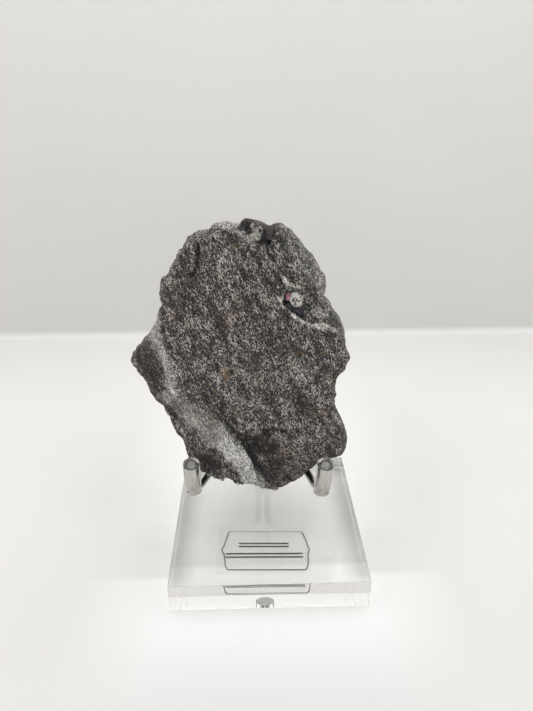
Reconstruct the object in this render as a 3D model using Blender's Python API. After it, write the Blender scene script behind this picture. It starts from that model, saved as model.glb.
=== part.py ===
"""Garnet crystals in a lump of schist, resting on a clear block stand with two bent rods.

Metres, +Z up. The origin is the centre of the block's underside, +X right, +Y to the back.
"""
import math
import random

import bmesh
import bpy
import numpy as np
from mathutils import Euler, Matrix, Vector

MM = 0.001
GAP = 0.3 * MM

# Clear block: 3 in square and 1/2 in thick, with eased edges.
BLOCK_SIDE = 76.2 * MM
BLOCK_HEIGHT = 12.7 * MM
BLOCK_EDGE = 0.5 * MM

# Printed label in a shallow pocket under the block.
LABEL_WIDTH = 38.1 * MM
LABEL_DEPTH = 25.4 * MM
LABEL_THICKNESS = 0.2 * MM
LABEL_CENTRE = (-1.8 * MM, -14.3 * MM)
LABEL_TURN = math.radians(-1.5)
LABEL_LIFT = 0.05 * MM

# Two rods stand side by side in one round socket and run out to the elbows.
ROD_RADIUS = 1.75 * MM
ROD_PITCH = 4.4 * MM
ROD_FOOT = (-1.0 * MM, 29.0 * MM)
ROD_TOP = 48.0 * MM
ELBOW_RIGHT = Vector((22.7, -1.5, 23.6)) * MM
ELBOW_LEFT = Vector((-30.9, 1.8, 22.5)) * MM
TOP_BEND = 5.0 * MM
ELBOW_BEND = 3.0 * MM
SOCKET_RADIUS = 4.3 * MM
SOCKET_DEPTH = 1.5 * MM
ROD_SIDES = 12
BEND_STEPS = 7

# Clear soft sleeves over the upturned ends, measured along them from the elbows.
TIP_RADIUS = 3.5 * MM
LEAN_RIGHT = Vector((0.08, -0.05, 1.0)).normalized()
LEAN_LEFT = Vector((-0.012, -0.05, 1.0)).normalized()
TIP_FOOT = 1.6 * MM
TIP_EDGE = 0.5 * MM
TIP_ABOVE = 17.4 * MM
TIP_SIDES = 20
TIP_ROUND = 1.2 * MM
TIP_ROUND_STEPS = 4
ROD_SHORT_OF_TIP = 2.2 * MM

# The rock has its own frame: x across its face, y up the face, z out of it.
STONE_PLACE = Vector((-3.5, 1.2, 24.0)) * MM
STONE_LEAN = math.radians(12.0)
STONE_TURN = math.radians(-3.5)
STONE_MIDDLE = (-4.0, 56.0)
STONE_TRIANGLES = 7150

# Broken outline of the rock on its face, clockwise from the top left, in millimetres.
OUTLINE = (
    (-29, 104.5), (-26.5, 106), (-23.5, 107), (-20.5, 107), (-18, 109.5), (-14, 111), (-9.5, 110),
    (-4.5, 109.5), (1, 109.5), (3.7, 109), (5, 110), (7, 111), (9.5, 110.5), (11, 109.5), (12.5, 109),
    (14, 106.5), (16.5, 103.5), (19.5, 100), (22, 97), (24.5, 92.5), (26.5, 90), (26.5, 85), (25, 83),
    (26.5, 81), (28, 79), (29, 76.5), (31.5, 73.5), (33.5, 70.5), (34.5, 66), (35.5, 62), (37, 58.5),
    (36.5, 55.5), (35, 52.5), (32.5, 50), (31.5, 47.5), (31, 44.5), (31.5, 41), (30.5, 38), (31.5, 35.5),
    (32, 33), (35, 28.5), (36.5, 25.5), (37.5, 22), (37.5, 19), (36, 16.5), (34.5, 15), (31.5, 13.5),
    (28.5, 13), (24.5, 11.5), (22.5, 9.7), (20, 7.4), (18, 6), (16, 5), (13.5, 3.5), (9, 1.5),
    (6.5, 0.5), (3, 0.5), (1, 1), (-2, 2.5), (-4.5, 3), (-7, 2.5), (-9.5, 2.5), (-12, 3.5),
    (-14.5, 4), (-20, 5), (-22, 5.2), (-24.5, 6), (-28.5, 9), (-31, 11.5), (-31.5, 14), (-32, 17),
    (-33, 20), (-36, 22), (-37, 23.5), (-38, 25.5), (-39, 28), (-39.5, 31), (-40.5, 34.5), (-41, 36),
    (-43, 37.5), (-44.5, 39), (-46, 41), (-47, 45), (-49, 49), (-51, 52.5), (-52.5, 55),
    (-52.5, 57), (-51.5, 59), (-48.5, 62), (-45, 67), (-43, 69.5), (-41, 74), (-40.5, 76), (-39, 78),
    (-38.5, 79), (-39.5, 83.5), (-39, 88), (-38, 89.5), (-36, 91.5), (-35.5, 93.5), (-32.5, 97.5),
    (-32, 99),
)

# Lines of relief on the face, in millimetres.
RIDGE = ((-4, 113), (-2.3, 103.5), (2.2, 99.4), (6.1, 93.8), (9.6, 88), (18, 84.5), (34, 73))
CREST = ((9.6, 88), (18, 84.5), (34, 73), (40, 69))
HOLLOW_LIP = ((9, 90), (7.6, 82), (8.5, 78), (12, 75.4), (17, 72.6), (24, 70.8), (38, 68))
CREASE = ((-16, 40), (-15.2, 34), (-13, 30.3), (-7.7, 23.7), (-4.8, 19.3), (-0.2, 5), (2, -6))
TONGUE = ((-7.7, 23.7), (-3.6, 22.8), (1.8, 24), (6, 27), (14, 27.5), (24, 31), (40, 35))
PALE_BAND = (
    (-47, 73), (-40.3, 60), (-36.7, 51.4), (-34.1, 42.9), (-29.4, 35.7),
    (-24.3, 26.1), (-16.1, 19.1), (-9.1, 11.5), (-1, 0),
)
LOBE_CREASE = ((-41, 88), (-37.9, 89.6), (-32.4, 91.9), (-27.8, 89.3), (-24.3, 92.4), (-23, 100))
LOBE_FOOT = ((-42, 74), (-36, 75.5), (-30, 76.5), (-26, 80))

# Underside wedge: it clears both arms, rising this much for each millimetre further back.
WEDGE_START = 3.5
WEDGE_SLOPE = 0.8

# The foliation shows on the face as steep lines and dips into the rock behind it.
FOLIATION = math.radians(-60.0)
FOLIATION_DIP = math.radians(35.0)

# Reach of a garnet's narrow bevelling planes, as a share of the reach of its broad faces.
TRAPEZOHEDRON_REACH = 1.03

# Garnets in the rock's frame: centre and half sizes in millimetres, turns in degrees before and
# after they are stretched. Their sockets are larger all round by the socket room.
SOCKET_ROOM = 0.45
GARNETS = {
    "garnet_top": ((-1.4, 106.1, -5.5), (7.2, 5.0, 5.2), (0, 0, 45), (14, 8, -20)),
    "garnet_side": ((14.3, 80.8, -5.0), (6.1, 6.4, 5.4), (45, 0, 0), (10, -8, 24)),
}


def clear_scene():
    for thing in list(bpy.data.objects):
        bpy.data.objects.remove(thing, do_unlink=True)


def finish_material(name, colour, roughness, metallic=0.0, transmission=0.0, ior=1.5):
    material = bpy.data.materials.new(name)
    material.use_nodes = True
    shader = material.node_tree.nodes["Principled BSDF"]
    shader.inputs["Base Color"].default_value = (*colour, 1.0)
    shader.inputs["Roughness"].default_value = roughness
    shader.inputs["Metallic"].default_value = metallic
    shader.inputs["Transmission Weight"].default_value = transmission
    shader.inputs["IOR"].default_value = ior
    material.diffuse_color = (*colour, 1.0)
    return material


def add_object(name, data, material=None):
    thing = bpy.data.objects.new(name, data)
    bpy.context.collection.objects.link(thing)
    if material is not None:
        data.materials.append(material)
    return thing


def hide_cutter(thing):
    thing.hide_render = True
    thing.display_type = "WIRE"


def cut(target, cutter, name):
    modifier = target.modifiers.new(name, "BOOLEAN")
    modifier.operation = "DIFFERENCE"
    modifier.solver = "EXACT"
    modifier.object = cutter


def mesh_from(bm, name):
    mesh = bpy.data.meshes.new(name)
    bm.to_mesh(mesh)
    bm.free()
    return mesh


# Relief helpers, on arrays of x and y in millimetres.


def ease(value, low, high):
    part = np.clip((value - low) / (high - low), 0.0, 1.0)
    return part * part * (3.0 - 2.0 * part)


def left_of_line(x, y, line):
    """Distance to an open line, positive on the left of its direction."""
    best = np.full(x.shape, 1e9)
    signed = np.zeros(x.shape)
    for (ax, ay), (bx, by) in zip(line[:-1], line[1:]):
        dx, dy = bx - ax, by - ay
        length = math.hypot(dx, dy)
        along = np.clip(((x - ax) * dx + (y - ay) * dy) / length ** 2, 0.0, 1.0)
        px, py = x - ax - along * dx, y - ay - along * dy
        distance = np.hypot(px, py)
        side = np.sign(dx * (y - ay) - dy * (x - ax))
        nearer = distance < best - 1e-9
        best = np.where(nearer, distance, best)
        signed = np.where(nearer, side * distance, signed)
    return signed


def wrapped(angle):
    return (angle + math.pi) % math.tau - math.pi


def outline_reach(angle):
    """Distance from the rock's middle to its outline, for each angle round the middle."""
    mx, my = STONE_MIDDLE
    corners = sorted((math.atan2(y - my, x - mx), x - mx, y - my) for x, y in OUTLINE)
    corners.append((corners[0][0] + math.tau, corners[0][1], corners[0][2]))
    turn = np.where(angle < corners[0][0], angle + math.tau, angle)
    reach = np.zeros(angle.shape)
    for (a0, x0, y0), (a1, x1, y1) in zip(corners[:-1], corners[1:]):
        inside = (turn >= a0) & (turn <= a1)
        cross = x0 * y1 - x1 * y0
        across = np.cos(turn) * (y1 - y0) - np.sin(turn) * (x1 - x0)
        reach = np.where(inside, cross / np.where(inside, across, 1.0), reach)
    return reach


def foliation_axes(points):
    """Places along the foliation lines, down its dip and through its layers."""
    x, y, z = points.T
    along = x * math.cos(FOLIATION) + y * math.sin(FOLIATION)
    across = -x * math.sin(FOLIATION) + y * math.cos(FOLIATION)
    down = across * math.sin(FOLIATION_DIP) + z * math.cos(FOLIATION_DIP)
    through = across * math.cos(FOLIATION_DIP) - z * math.sin(FOLIATION_DIP)
    return along, down, through


def lumps(points, seed, count, size):
    """Soft lumps and pits, longer along the foliation, at places set by the seed."""
    chance = random.Random(seed)
    axes = foliation_axes(points)
    height = np.zeros(len(points))
    for _ in range(count):
        centre = [[chance.uniform(-55, 40), chance.uniform(0, 112), chance.uniform(-26, 3)]]
        middle = foliation_axes(np.array(centre))
        reach = (chance.uniform(1.1, 1.8) * size, size, chance.uniform(0.6, 0.9) * size)
        rise = chance.uniform(-1.0, 0.8) * size * 0.3
        spread = sum(((a - m) / r) ** 2 for a, m, r in zip(axes, middle, reach))
        height += rise * np.exp(-spread)
    return height


def stepped(value):
    """A slow rise from -0.5 to 0.5 in each turn, with an eased drop at its end."""
    turn = value % 1.0
    return turn / 0.8 * (1 - ease(turn, 0.72, 1.0)) - 0.45


def layers(points):
    """Broken layers of the foliation, strong in some places and faint in others."""
    along, down, through = foliation_axes(points)
    warp = 2.2 * np.sin(along / 13 + 0.5) + 1.6 * np.sin(along / 7.3 + down / 11)
    broad = stepped((through + warp) / 14.0)
    fine = stepped((through - 0.7 * warp + 1.2 * np.sin(down / 4.5)) / 5.6)
    strength = 0.5 + 0.5 * np.sin(along / 17 + 1.7) * np.sin(down / 14 + 0.4)
    return 0.75 * broad * (1 - strength) + 0.35 * fine * strength


def face_height(x, y):
    """Front of the rock: height out of its own plane, part by part down the face."""
    height = 1.7 * (1 - ease(np.abs(x + 2), 12, 26) * (1 - ease(y, 24, 42)))
    height -= 1.2 * ease(y, 70, 108)
    beyond_ridge = left_of_line(x, y, RIDGE)
    height -= 1.0 * ease(beyond_ridge, 0, 1.3) + 0.24 * np.clip(beyond_ridge, 0, 18)
    past_lip = ease(left_of_line(x, y, HOLLOW_LIP), -0.3, 1.8)
    below_crest = ease(-left_of_line(x, y, CREST), -0.5, 5.0)
    height -= 3.0 * past_lip * below_crest * (1 - ease(x, 22, 34))
    below_tongue = ease(-left_of_line(x, y, TONGUE), -0.4, 2.2)
    right_of_crease = left_of_line(x, y, CREASE)
    recess = below_tongue * ease(right_of_crease, -0.5, 1.5)
    height -= 2.8 * recess * (1 - 0.75 * ease(x, 9, 24))
    height -= 1.0 * np.exp(-(right_of_crease / 1.6) ** 2) * (1 - ease(y, 32, 42))
    left_of_band = -left_of_line(x, y, PALE_BAND)
    height -= 1.5 * ease(left_of_band, -1.5, 4.5)
    height += 0.6 * np.exp(-((left_of_band + 3.0) / 2.2) ** 2)
    height += 1.6 * np.exp(-((x + 33) / 8) ** 4 - ((y - 83) / 6.5) ** 4)
    for crease in (LOBE_CREASE, LOBE_FOOT):
        height -= 0.9 * np.exp(-(left_of_line(x, y, crease) / 1.3) ** 2)
    return height


def back_height(x, y):
    """Back of the rock, plainer, with one long step and the wedge that rests on the arms."""
    depth = 21.5 + 2.2 * np.sin(x / 17 + 0.7) * np.cos(y / 29 - 1.1) - 4.5 * ease(y, 84, 112)
    step = left_of_line(x, y, ((-60, 88), (-34, 70), (-6, 52), (20, 44), (45, 38)))
    depth += 2.4 * ease(step, -1.2, 1.2) - 3.0 * ease(-x, 24, 50) - 1.5 * ease(x, 12, 36)
    shelf = left_of_line(x, y, ((6, 120), (2, 96), (14, 78), (10, 62), (24, 40)))
    depth += 1.9 * ease(shelf, -1.0, 1.4)
    keel = 3.4 * np.exp(-((x - 1) / 9) ** 2 - ((y - 4) / 8) ** 2)
    wedge = WEDGE_START - WEDGE_SLOPE * y - keel
    return np.logaddexp(-depth, wedge)


def shape_stone(points):
    """Map the points of a unit ball to the rock: flat faces, a narrow rounded rim."""
    mx, my = STONE_MIDDLE
    nx, ny, nz = points[:, 0], points[:, 1], np.clip(points[:, 2], -1.0, 1.0)
    angle = np.arctan2(ny, nx)
    polar = np.arccos(np.abs(nz))
    rim_start, rim_share = math.radians(74), 0.93
    flat_share = rim_share * np.sqrt((1 - np.cos(polar)) / (1 - math.cos(rim_start)))
    rim_turn = np.clip((polar - rim_start) / (math.pi / 2 - rim_start), 0, 1) * math.pi / 2
    share = np.where(polar < rim_start, flat_share, rim_share + (1 - rim_share) * np.sin(rim_turn))
    sharp = outline_reach(angle)
    soft = sum(outline_reach(wrapped(angle + turn)) for turn in (-0.34, -0.17, 0.1, 0.27)) / 4
    behind = ease(-nz, 0.0, 0.5)
    reach = sharp + behind * (0.96 * soft - sharp)
    x = mx + share * reach * np.cos(angle)
    y = my + share * reach * np.sin(angle)
    front, back = face_height(x, y), back_height(x, y)
    front = np.maximum(front, back + 1.6)
    edge = 0.30 + 0.16 * ease(y, 70, 112)
    rim = front + (back - front) * edge
    surface = np.where(nz >= 0, front, back)
    z = rim + (surface - rim) * np.cos(rim_turn)
    return np.stack((x, y, z), axis=1)


def roughen(points, normals):
    """Push the surface in and out by lumps and layers, but never towards arms or tips."""
    x, y, z = points.T
    push = lumps(points, 11, 230, 6.0) + lumps(points, 5, 1500, 2.6) + layers(points)
    above_wedge = z - (WEDGE_START - WEDGE_SLOPE * y)
    room = ease(above_wedge, 0.3, 4.0)
    beside_tips = ease(np.abs(x + 1.5), 20, 23) * (1 - ease(y, 18, 22)) * ease(z, -4, -2)
    room = room * (1 - beside_tips)
    push = np.minimum(push, 0) + np.maximum(push, 0) * room
    thin = ease(y, 0, 14)
    return points + normals * (push * (0.35 + 0.65 * thin))[:, None]


def stone_matrix():
    turn = Euler((math.pi / 2 - STONE_LEAN, 0.0, STONE_TURN)).to_matrix().to_4x4()
    return Matrix.Translation(STONE_PLACE) @ turn


def build_matrix(cutters):
    bm = bmesh.new()
    bmesh.ops.create_icosphere(bm, subdivisions=7, radius=1.0)
    mesh = mesh_from(bm, "matrix")
    points = np.empty(len(mesh.vertices) * 3)
    mesh.vertices.foreach_get("co", points)
    points = shape_stone(points.reshape(-1, 3))
    mesh.vertices.foreach_set("co", points.ravel())
    mesh.update()
    normals = np.empty(points.size)
    mesh.vertices.foreach_get("normal", normals)
    points = roughen(points, normals.reshape(-1, 3))
    mesh.vertices.foreach_set("co", (points * MM).ravel())
    mesh.update()
    stone = add_object("matrix", mesh, finish_material("schist", (0.10, 0.095, 0.09), 0.85))
    stone.matrix_world = stone_matrix()
    thin = stone.modifiers.new("broad_planes", "DECIMATE")
    thin.ratio = STONE_TRIANGLES / len(mesh.polygons)
    for cutter in cutters:
        cut(stone, cutter, "socket")


def crystal_mesh(name, grow=0.0):
    """A garnet: rhombic dodecahedron with its edges bevelled by a trapezohedron."""
    _, half, attitude, _ = GARNETS[name]
    broad, narrow = 1.0, TRAPEZOHEDRON_REACH
    bm = bmesh.new()
    bmesh.ops.create_cube(bm, size=4.0)
    planes = []
    for a in (-1, 1):
        for b in (-1, 1):
            planes += [((a, b, 0), broad), ((a, 0, b), broad), ((0, a, b), broad)]
            for c in (-1, 1):
                for direction in ((2 * a, b, c), (a, 2 * b, c), (a, b, 2 * c)):
                    planes.append((direction, narrow))
    for direction, distance in planes:
        normal = Vector(direction).normalized()
        everything = bm.verts[:] + bm.edges[:] + bm.faces[:]
        result = bmesh.ops.bisect_plane(
            bm, geom=everything, plane_co=normal * distance, plane_no=normal, clear_outer=True)
        rim = [item for item in result["geom_cut"] if isinstance(item, bmesh.types.BMEdge)]
        if rim:
            bmesh.ops.contextual_create(bm, geom=rim)
    grown = [1 + grow / size for size in half]
    turn = Euler([math.radians(value) for value in attitude]).to_matrix()
    bmesh.ops.rotate(bm, cent=(0, 0, 0), matrix=turn, verts=bm.verts)
    bmesh.ops.scale(bm, vec=Vector(half) * MM, verts=bm.verts)
    bmesh.ops.scale(bm, vec=Vector(grown), verts=bm.verts)
    bmesh.ops.recalc_face_normals(bm, faces=bm.faces)
    return mesh_from(bm, name)


def garnet_place(name):
    centre, _, _, turns = GARNETS[name]
    turn = Euler([math.radians(value) for value in turns]).to_matrix().to_4x4()
    return stone_matrix() @ Matrix.Translation(Vector(centre) * MM) @ turn


def build_garnets():
    cutters = []
    colours = {"garnet_top": (0.075, 0.018, 0.022), "garnet_side": (0.085, 0.022, 0.035)}
    for name, colour in colours.items():
        crystal = add_object(name, crystal_mesh(name), finish_material(name, colour, 0.25))
        crystal.matrix_world = garnet_place(name)
        cutter = add_object(name + "_cutter", crystal_mesh(name, grow=SOCKET_ROOM))
        cutter.matrix_world = garnet_place(name)
        hide_cutter(cutter)
        cutters.append(cutter)
    return cutters


def rounded_path(corners, bends):
    """Points along straight runs joined by arcs of the given radii."""
    points = [corners[0]]
    for before, corner, after, bend in zip(corners[:-2], corners[1:-1], corners[2:], bends):
        back, ahead = (before - corner).normalized(), (after - corner).normalized()
        half = back.angle(ahead) / 2
        reach = bend / math.tan(half)
        middle = corner + (back + ahead).normalized() * (bend / math.sin(half))
        start = (corner + back * reach - middle).normalized()
        end = (corner + ahead * reach - middle).normalized()
        for step in range(BEND_STEPS + 1):
            points.append(middle + start.slerp(end, step / BEND_STEPS) * bend)
    points.append(corners[-1])
    return points


def rod_corners(side, longer=0.0):
    elbow = ELBOW_RIGHT if side > 0 else ELBOW_LEFT
    foot_x = ROD_FOOT[0] + side * ROD_PITCH / 2
    foot = Vector((foot_x, ROD_FOOT[1], BLOCK_HEIGHT - SOCKET_DEPTH + GAP))
    top = Vector((foot_x, ROD_FOOT[1], ROD_TOP))
    lean = LEAN_RIGHT if side > 0 else LEAN_LEFT
    end = elbow + lean * (TIP_ABOVE - ROD_SHORT_OF_TIP + longer)
    return [foot, top, elbow, end], lean


def build_rod(name, side, clearance=0.0, material=None):
    """A bent rod, or the space it needs when there is a clearance round it."""
    corners, _ = rod_corners(side, clearance)
    curve = bpy.data.curves.new(name, "CURVE")
    curve.dimensions = "3D"
    curve.bevel_depth = ROD_RADIUS + clearance
    curve.bevel_resolution = ROD_SIDES // 2 - 2
    curve.use_fill_caps = True
    path = rounded_path(corners, (TOP_BEND, ELBOW_BEND))
    spline = curve.splines.new("POLY")
    spline.points.add(len(path) - 1)
    for point, place in zip(spline.points, path):
        point.co = (*place, 1.0)
    spline.use_smooth = True
    return add_object(name, curve, material)


def build_tip(name, side):
    """Round sleeve with a rounded top, bored and notched for the bent rod inside it."""
    corners, lean = rod_corners(side)
    profile = [(0.0, TIP_FOOT), (TIP_RADIUS - TIP_EDGE, TIP_FOOT), (TIP_RADIUS, TIP_FOOT + TIP_EDGE)]
    for step in range(TIP_ROUND_STEPS + 1):
        turn = math.pi / 2 * step / TIP_ROUND_STEPS
        profile.append((
            TIP_RADIUS - TIP_ROUND + TIP_ROUND * math.cos(turn),
            TIP_ABOVE - TIP_ROUND + TIP_ROUND * math.sin(turn)))
    profile.append((0.0, TIP_ABOVE))
    bm = bmesh.new()
    ring = [bm.verts.new((radius, 0.0, height)) for radius, height in profile]
    line = [bm.edges.new(pair) for pair in zip(ring[:-1], ring[1:])]
    bmesh.ops.spin(
        bm, geom=ring + line, cent=(0, 0, 0), axis=(0, 0, 1), angle=math.tau, steps=TIP_SIDES,
        use_merge=True)
    bmesh.ops.remove_doubles(bm, verts=bm.verts, dist=0.01 * MM)
    bmesh.ops.recalc_face_normals(bm, faces=bm.faces)
    mesh = mesh_from(bm, name)
    mesh.shade_smooth()
    mesh.set_sharp_from_angle(angle=math.radians(40))
    tip = add_object(name, mesh, finish_material(name, (0.86, 0.85, 0.82), 0.2, transmission=0.9))
    upright = Vector((0, 0, 1)).rotation_difference(lean)
    tip.matrix_world = Matrix.Translation(corners[2]) @ upright.to_matrix().to_4x4()
    wider_rod = build_rod(name + "_bore_line", side, GAP)
    depsgraph = bpy.context.evaluated_depsgraph_get()
    bore = bpy.data.meshes.new_from_object(wider_rod.evaluated_get(depsgraph))
    bpy.data.objects.remove(wider_rod, do_unlink=True)
    cutter = add_object(name + "_bore", bore)
    hide_cutter(cutter)
    cut(tip, cutter, "bore")


def build_base():
    bm = bmesh.new()
    bmesh.ops.create_cube(bm, size=1.0)
    bmesh.ops.scale(bm, vec=(BLOCK_SIDE, BLOCK_SIDE, BLOCK_HEIGHT), verts=bm.verts)
    bmesh.ops.translate(bm, vec=(0, 0, BLOCK_HEIGHT / 2), verts=bm.verts)
    bmesh.ops.bevel(bm, geom=bm.edges, offset=BLOCK_EDGE, segments=2, profile=0.5, affect="EDGES")
    acrylic = finish_material("acrylic", (0.97, 0.98, 0.97), 0.03, transmission=1.0, ior=1.49)
    block = add_object("base", mesh_from(bm, "base"), acrylic)

    bm = bmesh.new()
    bmesh.ops.create_cone(
        bm, cap_ends=True, segments=24, radius1=SOCKET_RADIUS, radius2=SOCKET_RADIUS,
        depth=2 * SOCKET_DEPTH)
    socket = add_object("socket_cutter", mesh_from(bm, "socket_cutter"))
    socket.location = (*ROD_FOOT, BLOCK_HEIGHT)
    hide_cutter(socket)
    cut(block, socket, "socket")

    bm = bmesh.new()
    bmesh.ops.create_cube(bm, size=1.0)
    depth = LABEL_LIFT + LABEL_THICKNESS + GAP
    size = (LABEL_WIDTH + 2 * GAP, LABEL_DEPTH + 2 * GAP, 2 * depth)
    bmesh.ops.scale(bm, vec=size, verts=bm.verts)
    pocket = add_object("pocket_cutter", mesh_from(bm, "pocket_cutter"))
    pocket.location = (*LABEL_CENTRE, 0.0)
    pocket.rotation_euler.z = LABEL_TURN
    hide_cutter(pocket)
    cut(block, pocket, "label_pocket")


def build_label():
    bm = bmesh.new()
    bmesh.ops.create_cube(bm, size=1.0)
    bmesh.ops.scale(bm, vec=(LABEL_WIDTH, LABEL_DEPTH, LABEL_THICKNESS), verts=bm.verts)
    label = add_object("label", mesh_from(bm, "label"), finish_material("label", (0.78, 0.77, 0.73), 0.6))
    label.location = (*LABEL_CENTRE, LABEL_LIFT + LABEL_THICKNESS / 2)
    label.rotation_euler.z = LABEL_TURN


def build_arms_and_tips():
    for word, side in (("right", 1), ("left", -1)):
        metal = finish_material("polished_rod_" + word, (0.72, 0.72, 0.73), 0.12, metallic=1.0)
        build_rod("arm_" + word, side, material=metal)
        build_tip("tip_" + word, side)


def main():
    clear_scene()
    build_base()
    build_label()
    build_arms_and_tips()
    build_matrix(build_garnets())


main()
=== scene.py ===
"""Looks of a garnet specimen on its clear stand: rock, crystals, block, label, rods and sleeves."""
import itertools
import math

import bpy
import numpy as np
from mathutils import Euler, Matrix, Vector
from mathutils.bvhtree import BVHTree


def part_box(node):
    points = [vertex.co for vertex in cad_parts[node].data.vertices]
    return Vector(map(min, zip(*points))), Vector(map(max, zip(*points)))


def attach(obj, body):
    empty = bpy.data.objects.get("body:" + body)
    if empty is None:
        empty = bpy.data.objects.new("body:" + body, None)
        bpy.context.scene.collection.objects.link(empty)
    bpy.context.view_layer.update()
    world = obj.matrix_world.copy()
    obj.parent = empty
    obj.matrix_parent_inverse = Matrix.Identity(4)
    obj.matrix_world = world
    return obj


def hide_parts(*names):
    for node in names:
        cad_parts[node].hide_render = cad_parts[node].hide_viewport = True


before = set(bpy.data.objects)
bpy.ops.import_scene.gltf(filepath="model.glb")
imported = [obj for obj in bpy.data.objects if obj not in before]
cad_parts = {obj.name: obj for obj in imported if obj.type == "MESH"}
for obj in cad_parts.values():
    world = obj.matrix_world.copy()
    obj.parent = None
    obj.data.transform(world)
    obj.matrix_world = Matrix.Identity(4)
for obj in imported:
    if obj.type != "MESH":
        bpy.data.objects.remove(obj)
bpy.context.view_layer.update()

MM = 0.001

# Camera that took the view, solved from the block's corners.
CAMERA_PLACE = (-5.9 * MM, -185.7 * MM, 181.3 * MM)
CAMERA_PITCH = math.radians(26.53)
CAMERA_YAW = math.radians(1.78)
FOCAL_PIXELS = 559.3
FRAME_HEIGHT = 711
SENSOR = 36.0
NEAREST = 0.01

# The rock's own frame: x across its face, y up the face, z out of it.
STONE_PLACE = Vector((-3.5, 1.2, 24.0)) * MM
STONE_LEAN = math.radians(12.0)
STONE_TURN = math.radians(-3.5)
FOLIATION = math.radians(-60.0)
FOLIATION_DIP = math.radians(35.0)
VOXEL = 0.54 * MM
CRYSTAL_VOXEL = 0.17 * MM
HUG_FULL = 0.8 * MM
HUG_REACH = 1.7 * MM
HUG_DEPTH = 0.1 * MM
# Cells along each side of a random field before it repeats.
LATTICE = 32

# Lines and patches on the rock's face, in millimetres in its own frame, as seen from the camera.
PALE_CORE = (
    (-40.6, 72), (-41.2, 68), (-40.2, 63), (-38.8, 58.4), (-37.4, 54), (-35.9, 49.3), (-35.3, 45),
    (-34.6, 40.3),
)
PALE_FOOT = ((-17.4, 27), (-14, 22.7), (-10.5, 18), (-7.1, 13), (-3.6, 7.5), (-0.3, 1.5), (1, -3))
PALE_MIST = ((-35, 41), (-30.5, 36), (-25.5, 31), (-19, 24))
BAND_EDGE = (
    (-21.4, 47), (-18.6, 41), (-15, 35), (-13.1, 29.8), (-10.4, 27), (-7.2, 24), (-4.2, 19.3),
    (-2, 14), (0.7, 8.5), (3.2, 3), (4.5, -0.2), (5.2, -4),
)
TONGUE = ((-7.8, 24.5), (-5, 23.2), (-1, 23.8), (3, 25.6), (6.5, 27), (10, 26.4))
HOLLOW_EDGE = ((6.5, 76), (9.5, 77.2), (12.2, 75), (14.6, 72.8), (18, 71.3), (24, 69.3), (31, 67.8))
BEVEL_EDGE = (
    (1.6, 113.5), (5.2, 108.3), (7.9, 103.9), (10.6, 99.9), (13.7, 95.4), (16.8, 90.8), (20.4, 85.5),
    (24.5, 79),
)
CRACK = ((-23, 103), (-23.4, 99.5), (-24, 95), (-24.8, 92), (-26.2, 90.2))
# How marks fade: the shares of their half width where they are full and gone.
LINE_CORE, LINE_FADE = 0.45, 1.25
PATCH_CORE, PATCH_FADE = 0.45, 1.3
# Patches are given by their middle, half width and half height. This one is the dished hollow round
# the side crystal, with its depth in millimetres.
HOLLOW = (17.2, 81.8, 7, 6.5)
HOLLOW_DEPTH = 2.0
# Pale quartz: lines with their strength and the distances at which the quartz is full and gone.
PALE_BANDS = ((PALE_CORE, 0.72, 0.6, 2.6), (PALE_MIST, 0.34, 2.5, 6))
PALE_PATCH = (-42.5, 65.5, 2.6, 4)
PALE_PATCH_SHARE = 0.6
FOOT_WIDTHS = (2.6, 5.2)
FOOT_FADE = 0.55
FOOT_FADE_HEIGHTS = (16, 30)
BAND_EDGE_BLUR = (-0.8, 0.3)
BACK_BAND_SHARE = 0.8
BACK_BAND_WIDTHS = (2, 6)
STREAK_SHARE = 0.55
BEVEL_BLUR = (-0.5, 2.5)
SMOOTH_PATCH = (21.5, 78.5, 6, 5.5)
SMOOTH_PATCH_SHARE = 0.5
BROWN_PATCHES = ((-33, 80, 7, 9), (14, 9, 16, 9))
BROWN_PATCH_SHARE = 0.8
BROWN_LEVELS = (0.0, 0.7)
LEFT_LOBE = ((-47.5, 61), (-45.6, 55), (-43.2, 48), (-40.6, 42))
LEFT_LOBE_WIDTHS = (2.5, 4.5)
DULL_PATCH = (31, 23, 6, 8)
# Rust spots: middle and half width. They are a little taller than wide.
RUST = (
    (-12.8, 49.6, 1.5), (-13.1, 51.4, 1.1), (-21, 46.1, 1.0), (-17.8, 43.2, 1.1), (15.9, 60, 1.0),
    (1.6, 69.1, 0.9), (-9.6, 102, 0.9), (26.2, 60.1, 0.8), (2.3, 85.7, 0.8),
)
RUST_HEIGHT_SHARE = 0.8
RUST_CORE = 0.35
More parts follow.
